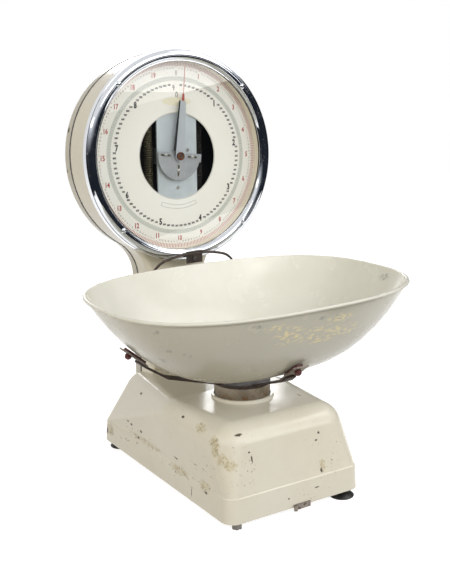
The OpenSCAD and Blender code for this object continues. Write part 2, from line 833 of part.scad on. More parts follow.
// Flanged guide under the lip in which the stem slides
module stem_guide() {
    color("#6d6a60") translate([0, spigot_y, 0]) difference() {
        union() {
            translate([0, 0, guide_seat_z - guide_flange_t]) cylinder(r = lip_out, h = guide_flange_t);
            translate([0, 0, guide_seat_z - eps]) cylinder(r = stem_r + 4, h = 24);
            translate([0, 0, guide_seat_z - 16]) cylinder(r = stem_r + 4, h = 14);
        }
        cylinder(r = stem_r + run_gap, h = collar_top_z);
    }
}

module fulcrum_stand() {
    color("#5c6268") translate([0, fulcrum_y, 0]) difference() {
        union() {
            box(-26, 26, -12, 12, plate_top, plate_top + 4);
            for (side = [-1, 1]) box(side * 17 - 2, side * 17 + 2, -8, 8, plate_top, lever_z + 8);
        }
        translate([0, 0, lever_z]) rod_x(lever_pin_r, -20, 20);
    }
}

module fulcrum_pin() {
    color("silver") translate([0, fulcrum_y, lever_z]) rod_x(lever_pin_r, -21, 21);
}

// Two tapered bars with spacers
module main_lever() {
    reach = rod_y - fulcrum_y;
    color("#4b4f52") translate([0, fulcrum_y, lever_z]) difference() {
        union() {
            for (side = [-1, 1]) side_slab(side * (lever_inner + lever_bar / 2) - lever_bar / 2,
                side * (lever_inner + lever_bar / 2) + lever_bar / 2) {
                circle(r = 9);
                translate([reach, 0]) circle(r = 6);
                polygon([[0, -9], [reach, -6], [reach, 6], [0, 9]]);
            }
            for (y = [22, reach - 42]) box(-lever_inner, lever_inner, y, y + 14, -4, 4);
        }
        rod_x(lever_pin_r + run_gap, -20, 20);
        translate([0, load_arm, 0]) rod_x(lever_pin_r, -20, 20);
        translate([0, reach, 0]) rod_x(lever_pin_r, -20, 20);
        for (y = [load_arm + 30:24:reach - 54]) translate([0, y, 0]) rod_x(3.5, -20, 20);
    }
}

module load_pin() {
    color("silver") translate([0, spigot_y, lever_z]) rod_x(lever_pin_r, -14, 14);
}

module rod_pin() {
    color("silver") translate([0, rod_y, lever_z]) rod_x(lever_pin_r, -14, 14);
}

// The collar, its crown and the stem that rests on the lever's load pin
module pan_spigot() {
    color("#a59a8c") translate([0, spigot_y, 0]) difference() {
        union() {
            translate([0, 0, 112]) cylinder(r = collar_r, h = collar_top_z - 112);
            translate([0, 0, lever_z + lever_pin_r + 0.1]) cylinder(r = stem_r, h = collar_top_z - lever_z - lever_pin_r - 0.1);
        }
        difference() {
            translate([0, 0, 110]) cylinder(r = collar_r - 3, h = collar_top_z - 4 - 110);
            cylinder(r = stem_r, h = collar_top_z);
        }
        translate([0, 0, collar_top_z - 12]) cylinder(r = 3, h = 13);
    }
}

// Places parts in the pan's own frame: origin in the middle of the rim's plane
module in_cradle() {
    translate([0, pan_y, pan_rim_z]) rotate([pan_pitch, -pan_cant, 0]) children();
}

// Slope of the bowl's wall at fraction s of a half-width
function wall_z(s) = -wall_drop - (pan_depth - wall_drop) * (1 - pow(s, pan_power));
function wall_slope(s, half) = atan((pan_depth - wall_drop) * pan_power * pow(s, pan_power - 1) / half);

// Places a pad on the wall: turn is the arm's direction, z points away from the pan
module on_wall(turn, s, half, shift) {
    rotate([0, 0, turn]) translate([half * s, shift, wall_z(s)])
        rotate([0, 180 - wall_slope(s, half), 0]) children();
}

// The four pads, each with the sideways shift that keeps it over the spigot's axes
spigot_shift = pan_ahead - spigot_ahead;
module each_pad() {
    on_wall(0, side_pad, pan_a, spigot_shift) children();
    on_wall(180, side_pad, pan_a, -spigot_shift) children();
    on_wall(270, front_pad, pan_b, 0) children();
    on_wall(90, back_pad, pan_b, 0) children();
}

clip_z = free_gap + buffer_t;

// A point of the pan's own frame, turned by an arm's direction and seen in that arm's plane:
// its distance from the spigot's axis and its height
function in_arm(turn, p) = let(
    x0 = p[0] * cos(turn) - p[1] * sin(turn), y0 = p[0] * sin(turn) + p[1] * cos(turn),
    y1 = y0 * cos(pan_pitch) - p[2] * sin(pan_pitch), z1 = y0 * sin(pan_pitch) + p[2] * cos(pan_pitch),
    x1 = x0 * cos(pan_cant) - z1 * sin(pan_cant), z2 = x0 * sin(pan_cant) + z1 * cos(pan_cant))
    [x1 * cos(turn) + (y1 + pan_y - spigot_y) * sin(turn), z2 + pan_rim_z];

// A point beside a pad: along it towards the spigot, and off the wall
function by_pad(s, half, shift, along, off) = let(q = wall_slope(s, half))
    [half * s - along * cos(q) + off * sin(q), shift, wall_z(s) - along * sin(q) - off * cos(q)];

// A bent strip of even thickness along points in a plane
module strip(points, t) {
    for (i = [0:len(points) - 2]) let(a = points[i], b = points[i + 1])
        translate(a) rotate(atan2(b[1] - a[1], b[0] - a[0])) translate([0, -t / 2]) square([norm(b - a), t]);
    for (p = points) translate(p) circle(r = t / 2);
}

// One arm: out of the disc, up at the knee if it has one, and along the end plate's outer face
module arm(turn, s, half, shift, knee) {
    off = clip_z + clip_t + arm_t / 2;
    points = concat([[disc_r - 8, disc_z + disc_t / 2]],
        [for (k = knee) in_arm(turn, [half * k, shift, wall_z(k) - knee_drop])],
        [for (along = [clip_l / 2 - 1, clip_l / 2 - 10]) in_arm(turn, by_pad(s, half, shift, along, off))]);
    translate([0, spigot_y, 0]) rotate([0, 0, turn]) rotate([90, 0, 0]) translate([0, 0, -arm_w / 2])
        linear_extrude(arm_w) strip(points, arm_t);
}

module pan_spider() {
    color("#2c2724") difference() {
        union() {
            translate([0, spigot_y, disc_z]) cylinder(r = disc_r, h = disc_t);
            arm(0, side_pad, pan_a, spigot_shift, [knee_share]);
            arm(180, side_pad, pan_a, -spigot_shift, [knee_share]);
            arm(270, front_pad, pan_b, 0, []);
            arm(90, back_pad, pan_b, 0, []);
        }
        translate([0, spigot_y, disc_z - cut]) cylinder(r = 3.3, h = disc_t + 2 * cut);
        in_cradle() each_pad() translate([-clip_l / 2, -clip_w / 2, 0]) cube([clip_l, clip_w, clip_z + clip_t]);
    }
}

module spider_bolt() {
    color("silver") translate([0, spigot_y, disc_z]) {
        translate([0, 0, disc_t]) cylinder(r = 6, h = 4, $fn = 6);
        translate([0, 0, -10]) cylinder(r = 2.95, h = 10 + disc_t + eps);
    }
}

module arm_clips() {
    color("#55504c") in_cradle() each_pad() difference() {
        translate([-clip_l / 2, -clip_w / 2, clip_z]) cube([clip_l, clip_w, clip_t]);
        translate([-pip_up, 0, clip_z - cut]) cylinder(r = 3, h = clip_t + 2 * cut);
    }
}

// Rubber buffers: a pad against the pan and a pip outside the plate
module arm_buffers() {
    pip_z = clip_z + clip_t;
    reach = (clip_l - buffer_w) / 2;
    color("#8c1f1a") in_cradle() each_pad() translate([-pip_up, 0, 0]) {
        translate([pip_up, 0, free_gap]) linear_extrude(buffer_t) {
            translate([-reach, -buffer_w / 2]) square([2 * reach, buffer_w]);
            for (x = [-reach, reach]) translate([x, 0]) circle(r = buffer_w / 2);
        }
        translate([0, 0, clip_z - eps]) cylinder(r = 3, h = clip_t + 2 * eps);
        rotate_extrude() intersection() {
            translate([0, pip_z + 2]) circle(r = pip_r);
            translate([0, pip_z]) square([pip_r, 3 * pip_r]);
        }
    }
}

// Half of the hoop, from the back plate up to the middle of the arch
hoop_y = pan_b + bead_r + hoop_gap + hoop_wire_r;
back_z = wall_z(back_pad);
hoop_half_points = [
    [8, pan_b * back_pad + 8, back_z - 8.5],
    [30, pan_b * back_pad + 18, back_z + 6],
    [hoop_half * 0.86, pan_b * 0.86 + 12, -50],
    [hoop_half * 1.05, hoop_y, -24],
    [hoop_half * 0.99, hoop_y, -7],
    [hoop_half * 0.82, hoop_y, hoop_rise * 0.35],
    [hoop_half * 0.58, hoop_y, hoop_rise * 0.74],
    [hoop_half * 0.28, hoop_y, hoop_rise * 0.97]];
function bend_share(z) = (z - back_z) / (hoop_rise - back_z);
hoop_points = concat(
    [for (i = [0:7]) hoop_half_points[i] + [hoop_bent * bend_share(hoop_half_points[i][2]), 0, 0]],
    [[hoop_bent, hoop_y, hoop_rise]],
    [for (i = [7:-1:0]) let(p = hoop_half_points[i]) [hoop_bent * bend_share(p[2]) - p[0], p[1], p[2]]]);

// A smooth curve through points, with a few steps between each two
function curve_point(a, b, c, d, t) = 0.5 * ((2 * b) + (c - a) * t + (2 * a - 5 * b + 4 * c - d) * t * t
    + (3 * b - a - 3 * c + d) * t * t * t);
function curve(p, n) = concat([for (i = [0:len(p) - 2]) for (k = [0:n - 1])
    curve_point(p[max(i - 1, 0)], p[i], p[i + 1], p[min(i + 2, len(p) - 1)], k / n)], [p[len(p) - 1]]);

module back_hoop() {
    path = curve(hoop_points, 3);
    color("#3a3431") in_cradle() tube(path, [for (p = path) [0, 1, 0]], hoop_wire_r, 8);
}

plate_drop = 15;
module hoop_plate() {
    color("#4a4542") in_cradle() translate([hoop_bent, hoop_y, hoop_rise]) difference() {
        union() {
            box(-13.5, 13.5, hoop_wire_r, hoop_wire_r + 1.5, -plate_drop, hoop_wire_r + 1);
            box(-13.5, 13.5, -hoop_wire_r, hoop_wire_r + 1.5, hoop_wire_r + 0.2, hoop_wire_r + 1.2);
        }
        translate([0, 0, -plate_drop / 2]) rod_y(1.6, 0, 2 * hoop_wire_r + cut);
    }
}

module hoop_screw() {
    color("#1f1d1c") in_cradle() translate([hoop_bent, hoop_y, hoop_rise - plate_drop / 2]) {
        rod_y(3.6, hoop_wire_r - 1.4, hoop_wire_r);
        rod_y(1.55, hoop_wire_r - eps, hoop_wire_r + 3);
    }
}

module hoop_buffer() {
    color("#1b1b1b") in_cradle() translate([hoop_bent, hoop_y, hoop_rise - plate_drop / 2]) difference() {
        rod_y(6, hoop_wire_r + 1.5, hoop_wire_r + 3.2);
        rod_y(1.6, hoop_wire_r, hoop_wire_r + 4);
    }
}

// One ring of the pan: fraction s of the half-widths plus e outwards, at height z
pan_sides = 64;
function corner_scale(a) = pow(pow(abs(cos(a)), pan_square) + pow(abs(sin(a)), pan_square), -1 / pan_square);
function pan_ring(s, e, z) = [for (k = [0:pan_sides - 1]) let(a = 360 * k / pan_sides, c = corner_scale(a))
    [(pan_a * s + e) * c * cos(a), (pan_b * s + e) * c * sin(a), z]];
mean_half = (pan_a + pan_b) / 2;
outer_steps = [0.12, 0.24, 0.36, 0.47, 0.57, 0.66, 0.745, 0.82, 0.885, 0.945, 0.988];
inner_steps = [0.985, 0.93, 0.86, 0.775, 0.68, 0.57, 0.45, 0.32, 0.18];
bead_turns = [-130:35:150];
pan_rings = concat(
    [for (s = outer_steps) pan_ring(s, 0, wall_z(s))],
    [for (a = bead_turns) pan_ring(1, bead_r * cos(a), -bead_r + bead_r * sin(a))],
    [for (s = inner_steps) let(q = wall_slope(s, mean_half)) pan_ring(s, -pan_t * sin(q), wall_z(s) + pan_t * cos(q))]);
pan_ring_count = len(pan_rings);
pan_points = concat([[0, 0, wall_z(0)]], [for (r = pan_rings) each r], [[0, 0, wall_z(0) + pan_t]]);
function pan_index(i, k) = 1 + i * pan_sides + k % pan_sides;
pan_faces = concat(
    [for (k = [0:pan_sides - 1]) [0, pan_index(0, k), pan_index(0, k + 1)]],
    [for (i = [0:pan_ring_count - 2]) for (k = [0:pan_sides - 1])
        each [[pan_index(i, k), pan_index(i + 1, k), pan_index(i + 1, k + 1)],
            [pan_index(i, k), pan_index(i + 1, k + 1), pan_index(i, k + 1)]]],
    [for (k = [0:pan_sides - 1])
        [len(pan_points) - 1, pan_index(pan_ring_count - 1, k + 1), pan_index(pan_ring_count - 1, k)]]);

module pan() {
    color("#e4e2d6") in_cradle() polyhedron(pan_points, pan_faces, convexity = 6);
}

// Rod from the lever up to the crosshead, with a slotted eye at its foot
module draw_rod() {
    eye_slack = (rod_y - fulcrum_y) * (1 - cos(atan(travel / load_arm))) + 0.4;
    top = dial_z + cross_z - cross_h;
    color("silver") translate([0, rod_y, 0]) {
        difference() {
            box(-4, 4, -9, 7, lever_z - 8, lever_z + 10);
            translate([0, 0, lever_z]) rod_x(lever_pin_r + 0.2, -5, 5);
            translate([0, -eye_slack, lever_z]) rod_x(lever_pin_r + 0.2, -5, 5);
            box(-5, 5, -eye_slack, 0, lever_z - lever_pin_r - 0.2, lever_z + lever_pin_r + 0.2);
        }
        translate([0, 0, lever_z + 10 - eps]) cylinder(r = rod_r, h = top - lever_z - 10 + eps);
    }
}

// Bar that gathers both springs, the rod and the rack
module lower_crosshead() {
    color("#5c6268") at_dial() box(-spring_x - 9, spring_x + 9, mech_back + 1, rod_back + 6,
        cross_z - cross_h, cross_z);
}

// Rack with straight-sided teeth, beside the pinion
rack_x = pinion_r + mesh_gap;
tooth_pitch = PI * tooth_module;
module rack() {
    low = floor(5 / tooth_pitch);
    high = ceil((rod_travel + 5) / tooth_pitch);
    half = tooth_pitch / 4 - backlash / 2;
    lean = 0.36 * tooth_module;
    color("goldenrod") at_dial() front_slab(pinion_front + 1, pinion_back - 1) union() {
        translate([rack_x + 1.1 * tooth_module, cross_z])
            square([5, high * tooth_pitch + tooth_pitch - cross_z]);
        for (i = [-low:high]) translate([rack_x, (i + 0.5) * tooth_pitch])
            polygon([[1.2 * tooth_module, -half - 1.2 * lean], [1.2 * tooth_module, half + 1.2 * lean],
                [-0.8 * tooth_module, half - 0.8 * lean], [-0.8 * tooth_module, -half + 0.8 * lean]]);
    }
}

// Pinion with a tooth pointing at the gap of the rack
module pinion() {
    tip = pinion_r + 0.8 * tooth_module;
    root = pinion_r - 1.1 * tooth_module;
    step = 360 / pinion_teeth;
    wide = step / 4 - 180 / PI * backlash / 2 / pinion_r;
    color("goldenrod") at_dial() difference() {
        front_slab(pinion_front, pinion_back) polygon([for (i = [0:pinion_teeth - 1]) for (p = [
            [root, -1.45 * wide], [pinion_r, -wide], [tip, -0.45 * wide],
            [tip, 0.45 * wide], [pinion_r, wide], [root, 1.45 * wide]])
            [p[0] * cos(i * step + p[1]), p[0] * sin(i * step + p[1])]]);
        rod_y(spindle_r, pinion_front - cut, pinion_back + cut);
    }
}

module spindle() {
    color("silver") at_dial() rod_y(spindle_r, hub_front, bracket_back + 4);
}

// Places what turns with the pointer's blade
module at_pointer() {
    at_dial() rotate([0, pointer_lead, 0]) children();
}

hub_front = 4.6;
blade_y = 8;
counter_y = 10.4;
counter_t = 1.5;

// Brass boss that grips the spindle
module pointer_hub() {
    color("goldenrod") at_pointer() difference() {
        union() {
            rod_y(6, hub_front + 0.6, blade_y);
            rod_y(4, blade_y - eps, counter_y + counter_t + 1);
        }
        rod_y(spindle_r, 0, 20);
    }
}

module pointer() {
    color("#93a0a8") at_pointer() difference() {
        union() {
            front_slab(blade_y, blade_y + 1) polygon([[-8, 0], [8, 0], [4.8, blade_r], [-4.8, blade_r]]);
            front_slab(blade_y - 2.4, blade_y + 1) polygon([[-9, 0], [-8, 0], [-4.8, blade_r], [-5.8, blade_r]]);
            rod_y(8, blade_y, blade_y + 1);
        }
        rod_y(4, 0, 20);
        rod_y(6.3, 0, blade_y);
    }
}

// Red tip and its hairline
module pointer_tip() {
    color("#b5322a") at_pointer() front_slab(blade_y, blade_y + 0.8) {
        polygon([[-2.2, blade_r], [2.2, blade_r], [1.4, blade_r + 10], [-1.4, blade_r + 10]]);
        translate([-0.4, blade_r + 10 - eps]) square([0.8, hair_r - blade_r - 10]);
    }
}

slot_places = [[-23, 0, 0], [22, 0, 0], [0, -21, 90]];

// Half-round plate below the spindle with three slots and their screws
module counterweight() {
    color("#8b979f") at_pointer() {
        difference() {
            front_slab(counter_y, counter_y + counter_t) union() {
                intersection() {
                    circle(r = counter_r);
                    translate([-counter_r, -counter_r]) square([2 * counter_r, counter_r + 5]);
                }
                translate([counter_r - 5, -7]) square([7, 12]);
            }
            rod_y(4, 0, 20);
            for (p = slot_places) translate([p[0], 0, p[1]]) rotate([0, p[2], 0])
                box(-8, 8, counter_y - cut, counter_y + counter_t + cut, -1.5, 1.5);
        }
        for (p = slot_places) translate([p[0], 0, p[1]]) {
            rod_y(2.8, counter_y - 1.1, counter_y + 0.4);
            rod_y(1.1, counter_y, counter_y + counter_t + 1);
        }
    }
}

module dashpot_bracket() {
    color("#5c6268") difference() {
        box(-col_half + housing_wall, col_half - housing_wall, face_y + col_front + housing_wall,
            face_y + dash_back + 11, dash_z - 4, dash_z);
        translate([0, rod_y, dash_z - 4 - cut]) cylinder(r = rod_r + 3, h = 4 + 2 * cut);
        for (side = [-1, 1]) translate([side * (col_half - housing_wall), face_y + col_front + housing_wall, dash_z])
            rotate([0, 0, 45]) cube([8, 8, 20], center = true);
    }
}

module dashpot_cylinder() {
    color("goldenrod") translate([0, face_y + dash_back, 0]) difference() {
        translate([0, 0, dash_z]) cylinder(r = 11, h = 48);
        translate([0, 0, dash_z + 2]) cylinder(r = 9, h = 48);
    }
}

module dashpot_piston() {
    color("silver") translate([0, face_y + dash_back, 0]) {
        translate([0, 0, dash_z + 34]) cylinder(r = 9 - free_gap, h = 5);
        translate([0, 0, dash_z + 39 - eps]) cylinder(r = 2, h = arm_z + 6 - dash_z - 39 + eps);
    }
}

// Clamp that carries the piston beside the draw rod
module piston_arm() {
    color("#5c6268") difference() {
        box(-6, 6, face_y + rod_back - 7, face_y + dash_back + 6, arm_z - 4, arm_z + 4);
        translate([0, rod_y, arm_z - 4 - cut]) cylinder(r = rod_r, h = 8 + 2 * cut);
        translate([0, face_y + dash_back, arm_z - 4 - cut]) cylinder(r = 2, h = 8 + 2 * cut);
    }
}

// Bolts up through the casing's seat into the column's foot
module column_bolts() {
    seat = col_foot_z - foot_plate_t;
    color("silver") for (p = column_bolt_places()) translate([p[0], p[1], 0]) {
        translate([0, 0, seat - 4]) cylinder(r = 6, h = 4, $fn = 6);
        translate([0, 0, seat - eps]) cylinder(r = 2.9, h = foot_plate_t + 3);
    }
}

base_casing();
base_plate();
base_screws();
foot_nuts();
front_clip();
front_housing();
rear_cover();
cover_screws();
seam_gasket();
bezel();
bezel_screws();
glass();
glass_gasket();
dial_chart();
chart_screws();
mechanism_plate();
plate_screws();
front_bearing();
bearing_bracket();
rear_bearing();
spring_anchor();
load_spring_left();
load_spring_right();
stem_guide();
fulcrum_stand();
fulcrum_pin();
dashpot_bracket();
dashpot_cylinder();
column_bolts();
pan_spigot();
pan_spider();
spider_bolt();
arm_clips();
arm_buffers();
back_hoop();
hoop_plate();
hoop_screw();
hoop_buffer();
pan();
main_lever();
load_pin();
rod_pin();
draw_rod();
lower_crosshead();
rack();
dashpot_piston();
piston_arm();
spindle();
pinion();
pointer_hub();
pointer();
pointer_tip();
counterweight();
foot_stud_fl();
foot_stud_fr();
foot_stud_rl();
foot_stud_rr();
foot_pad_fr();
foot_pad_rl();
foot_pad_rr();
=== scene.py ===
import json
import math

import bmesh
import bpy
from mathutils import Matrix, Vector


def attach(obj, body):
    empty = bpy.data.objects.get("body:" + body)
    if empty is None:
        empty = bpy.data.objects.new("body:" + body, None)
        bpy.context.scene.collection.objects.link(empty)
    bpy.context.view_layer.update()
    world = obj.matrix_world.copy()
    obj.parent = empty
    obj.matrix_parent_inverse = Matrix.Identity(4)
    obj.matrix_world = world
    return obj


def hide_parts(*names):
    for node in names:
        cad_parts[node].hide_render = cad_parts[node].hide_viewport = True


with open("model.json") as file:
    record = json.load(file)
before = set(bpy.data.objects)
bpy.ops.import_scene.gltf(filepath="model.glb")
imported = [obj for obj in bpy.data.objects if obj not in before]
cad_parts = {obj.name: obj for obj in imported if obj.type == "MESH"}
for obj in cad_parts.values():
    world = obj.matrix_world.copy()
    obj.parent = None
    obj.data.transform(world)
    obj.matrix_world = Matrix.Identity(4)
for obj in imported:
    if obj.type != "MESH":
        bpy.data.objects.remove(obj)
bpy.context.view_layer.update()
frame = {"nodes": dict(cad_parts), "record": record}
nodes = frame["nodes"]

MM = 0.001
# The widest plane of the bezel, the dial's centre and the front of the dial card
FACE_Y = 121 * MM
DIAL_Z = 448.5 * MM
CARD_Y = 136 * MM
# The seam between housing and back cover, the drum's radius, and the hollows where drum runs into column
SEAM_Y = 181.5 * MM
DRUM_R = 150 * MM
WEB_X = 114 * MM
WEB_DROP = 183.4 * MM
# Degrees that the seam runs round the drum from its top, and back round the hollow below that
DRUM_TURN = 148.13
WEB_TURN = 58.13
# Where the black paint inside the drum ends, outwards and backwards
BLACK_R = 146.6 * MM
BLACK_Y = FACE_Y + 86.5 * MM
# Degrees that the pointer turns for a pound and for a kilogram, and those it stands past the top at rest
POUND = 18.0
KILOGRAM = 360 / 9.0718
POINTER_LEAD = 5
# Camera: where the photographer stood, the turns to the right, upwards and sideways in degrees, the
# focal length in pixels of the photograph, the photograph's longer side and the sensor in millimetres
CAMERA_PLACE = (-0.60815, FACE_Y - 1.0732, 0.4884)
CAMERA_TURNS = (32.31, -10.42, -0.733)
FOCAL_PIXELS = 834.4
LONG_SIDE = 563
SENSOR = 36
# Turns a flat piece that was drawn face up to stand upright and face the front
UPRIGHT = Matrix.Rotation(math.radians(90), 3, "X")


def colour(code):
    """An sRGB hex colour as the linear values that the shaders take."""
    parts = [int(code[i:i + 2], 16) / 255 for i in (1, 3, 5)]
    return tuple(c / 12.92 if c <= 0.04045 else ((c + 0.055) / 1.055) ** 2.4 for c in parts) + (1.0,)


def add_node(tree, kind, settings=None, links=None):
    """Adds one shader node, sets its properties and inputs, and links outputs into it."""
    made = tree.nodes.new(kind)
    for key, value in (settings or {}).items():
        if isinstance(key, str) and hasattr(made, key):
            setattr(made, key, value)
        else:
            made.inputs[key].default_value = value
    for key, output in (links or {}).items():
        tree.links.new(output, made.inputs[key])
    return made


def new_material(name):
    material = bpy.data.materials.new(name)
    material.use_nodes = True
    material.node_tree.nodes.clear()
    return material, material.node_tree


def finish_material(tree, shader):
    add_node(tree, "ShaderNodeOutputMaterial", links={"Surface": shader.outputs[0]})


def make_camera():
    yaw, pitch, roll = [math.radians(turn) for turn in CAMERA_TURNS]
    look = Vector((math.sin(yaw) * math.cos(pitch), math.cos(yaw) * math.cos(pitch), math.sin(pitch)))
    right = Vector((math.cos(yaw), -math.sin(yaw), 0))
    up = right.cross(look)
    turned_right = math.cos(roll) * right + math.sin(roll) * up
    turned_up = -math.sin(roll) * right + math.cos(roll) * up
    data = bpy.data.cameras.new("photo_camera")
    data.sensor_width = SENSOR
    data.lens = FOCAL_PIXELS * SENSOR / LONG_SIDE
    camera = bpy.data.objects.new("photo_camera", data)
    bpy.context.scene.collection.objects.link(camera)
    basis = Matrix((turned_right, turned_up, -look)).transposed()
    camera.matrix_world = Matrix.Translation(CAMERA_PLACE) @ basis.to_4x4()
    bpy.context.scene.camera = camera


def soft_box(name, place, target, size, power, tint):
    """A studio lamp: a glowing rectangle that faces the target."""
    data = bpy.data.lights.new(name, "AREA")
    data.color = colour(tint)[:3]
    data.shape = "RECTANGLE"
    data.size, data.size_y = size
    data.energy = power
    lamp = bpy.data.objects.new(name, data)
    bpy.context.scene.collection.objects.link(lamp)
    lamp.location = place
    lamp.rotation_euler = (Vector(target) - Vector(place)).to_track_quat("-Z", "Y").to_euler()


def seen_rays(tree):
    """1 for the rays of the camera, of polished surfaces and of glass, 0 for those that light the object."""
    path = add_node(tree, "ShaderNodeLightPath")
    seen = add_node(tree, "ShaderNodeMath", {"operation": "MAXIMUM"},
        {0: path.outputs["Is Camera Ray"], 1: path.outputs["Is Glossy Ray"]})
    seen = add_node(tree, "ShaderNodeMath", {"operation": "MAXIMUM"},
        {0: seen.outputs[0], 1: path.outputs["Is Transmission Ray"]})
    return seen.outputs[0]


def stage_piece(name, mesh):
    data = bpy.data.meshes.new(name)
    mesh.to_mesh(data)
    mesh.free()
    made = bpy.data.objects.new(name, data)
    bpy.context.scene.collection.objects.link(made)
    return made


def make_surroundings():
    """A grey dome and a white floor, both pure white where they are seen or mirrored."""
    world = bpy.data.worlds.new("studio")
    bpy.context.scene.world = world
    world.use_nodes = True
    tree = world.node_tree
    tree.nodes.clear()
    dome = add_node(tree, "ShaderNodeMix",
        {"data_type": "RGBA", 6: colour("#a6a5a2"), 7: colour("#ffffff")}, {0: seen_rays(tree)})
    shade = add_node(tree, "ShaderNodeBackground", {"Strength": 1.0}, {"Color": dome.outputs[2]})
    add_node(tree, "ShaderNodeOutputWorld", links={"Surface": shade.outputs[0]})

    mesh = bmesh.new()
    bmesh.ops.create_grid(mesh, x_segments=1, y_segments=1, size=6)
    floor = stage_piece("studio_floor", mesh)
    material, tree = new_material("white_studio_floor")
    dim = add_node(tree, "ShaderNodeBsdfDiffuse", {"Color": colour("#908b81")})
    lit = add_node(tree, "ShaderNodeBsdfDiffuse", {"Color": colour("#cbcbcb")})
    glow = add_node(tree, "ShaderNodeEmission", {"Color": colour("#ffffff"), "Strength": 0.8})
    both = add_node(tree, "ShaderNodeAddShader", links={0: lit.outputs[0], 1: glow.outputs[0]})
    mixed = add_node(tree, "ShaderNodeMixShader",
        links={0: seen_rays(tree), 1: dim.outputs[0], 2: both.outputs[0]})
    finish_material(tree, mixed)
    floor.data.materials.append(material)


def dark_card(name, corner, along, up, fade):
    """A dark board beside the lamps that only polished metal and glass show, paling between two heights."""
    along, up = Vector(along), Vector(up)
    lay = Matrix((along, up, along.cross(up).normalized())).transposed().to_4x4()
    mesh = bmesh.new()
    bmesh.ops.create_grid(mesh, x_segments=1, y_segments=1, size=0.5,
        matrix=Matrix.Translation(Vector(corner) + (along + up) / 2) @ lay)
    card = stage_piece(name, mesh)
    material, tree = new_material(name + "_felt")
    place = add_node(tree, "ShaderNodeTexCoord").outputs["Object"]
    height = add_node(tree, "ShaderNodeSeparateXYZ", links={"Vector": place}).outputs["Z"]
    low, high = fade
    pale = add_node(tree, "ShaderNodeMapRange", {"From Min": low, "From Max": high}, {"Value": height})
    shade = add_node(tree, "ShaderNodeMix",
        {"data_type": "RGBA", 6: colour("#23272f"), 7: colour("#e8ecf2")}, {0: pale.outputs["Result"]})
    felt = add_node(tree, "ShaderNodeEmission", {"Strength": 1.0}, {"Color": shade.outputs[2]})
    finish_material(tree, felt)
    card.data.materials.append(material)
    for ray in ("camera", "diffuse", "volume_scatter", "shadow"):
        setattr(card, "visible_" + ray, False)


bpy.context.scene.view_settings.view_transform = "Standard"
make_camera()
make_surroundings()
# Each lamp: its place and target in metres, its size, its power in watts and its tint
soft_box("upper_right_box", (1.3, -0.7, 2.0), (0, 0, 0.2), (1.1, 0.8), 7, "#fffdf8")
soft_box("back_box", (1.0, 2.1, 1.3), (0, 0, 0.3), (1.4, 1.2), 22, "#ffffff")
soft_box("high_front_box", (0.0, -2.2, 1.35), (0, 0, 0.3), (1.6, 1.0), 22, "#ffffff")
soft_box("window_box", (0.95, -1.55, 1.14), (0.95, 0, 1.14), (1.5, 1.04), 9, "#ffffff")
soft_box("right_box", (2.2, -1.0, 1.5), (0, 0, 0.3), (1.0, 1.0), 14, "#ffffff")
soft_box("left_box", (-1.95, -0.55, 0.8), (0, 0, 0.3), (1.0, 1.4), 19, "#fff8ea")
# Each board: a corner, its two sides and the heights it pales between, all in metres
dark_card("front_board", (-1.6, -0.65, 0), (2.0, 0, 0), (0, -0.8, 1.2), (0.5, 1.15))
dark_card("left_board", (-0.8, -1.5, 0), (0, 1.9, 0), (-0.9, 0, 1.2), (0.5, 1.15))
dark_card("window_sill_board", (0.4, -1.5, 0), (1.0, 0, 0.239), (0, 0, 0.49), (2.0, 3.0))
dark_card("floor_board", (0.25, -1.45, 0.005), (1.1, 0, 0), (0, 1.15, 0), (2.0, 3.0))
dark_card("right_board", (1.33, -1.5, 0), (0.4, 1.4, 0), (0, 0, 1.5), (1.1, 1.5))
dark_card("back_right_board", (1.73, -0.1, 0), (-0.6, 1.5, 0), (0, 0, 1.5), (1.1, 1.5))


def uneven(tree, place, scale, detail, low, high, low_to=0.0, high_to=1.0):
    """A noise value drawn out between two levels. Scale is in lumps a metre: 400 is one every 2.5 mm."""
    noise = add_node(tree, "ShaderNodeTexNoise", {"Scale": scale, "Detail": detail}, {"Vector": place})
    level = add_node(tree, "ShaderNodeMapRange",
        {"From Min": low, "From Max": high, "To Min": low_to, "To Max": high_to},
        {"Value": noise.outputs["Fac"]})
    return level.outputs["Result"]


def patch_mask(tree, place, patches):
    """1 inside the patches, each a centre and a half-size in millimetres, and 0 outside."""
    mask = None
    for centre, half in patches:
        moved = add_node(tree, "ShaderNodeMapping",
            {"Location": [-c / h for c, h in zip(centre, half)], "Scale": [1 / (h * MM) for h in half]},
            {"Vector": place})
        far = add_node(tree, "ShaderNodeVectorMath", {"operation": "LENGTH"}, {0: moved.outputs[0]})
        inside = add_node(tree, "ShaderNodeMapRange", {"From Min": 1.0, "From Max": 0.6},
            {"Value": far.outputs["Value"]}).outputs["Result"]
        if mask is None:
            mask = inside
        else:
            mask = add_node(tree, "ShaderNodeMath", {"operation": "MAXIMUM"}, {0: mask, 1: inside}).outputs[0]
    return mask


def painted_over(tree, under, over, masks, strength=1.0):
    """The colour under, with the colour over laid on it where all the masks overlap."""
    first, *others = masks
    share = add_node(tree, "ShaderNodeMath", {"operation": "MULTIPLY", 1: strength}, {0: first})
    for mask in others:
        share = add_node(tree, "ShaderNodeMath", {"operation": "MULTIPLY"}, {0: share.outputs[0], 1: mask})
    settings = {"data_type": "RGBA", 7: colour(over)}
    links = {0: share.outputs[0]}
    if isinstance(under, str):
        settings[6] = colour(under)
    else:
        links[6] = under
    return add_node(tree, "ShaderNodeMix", settings, links).outputs[2]


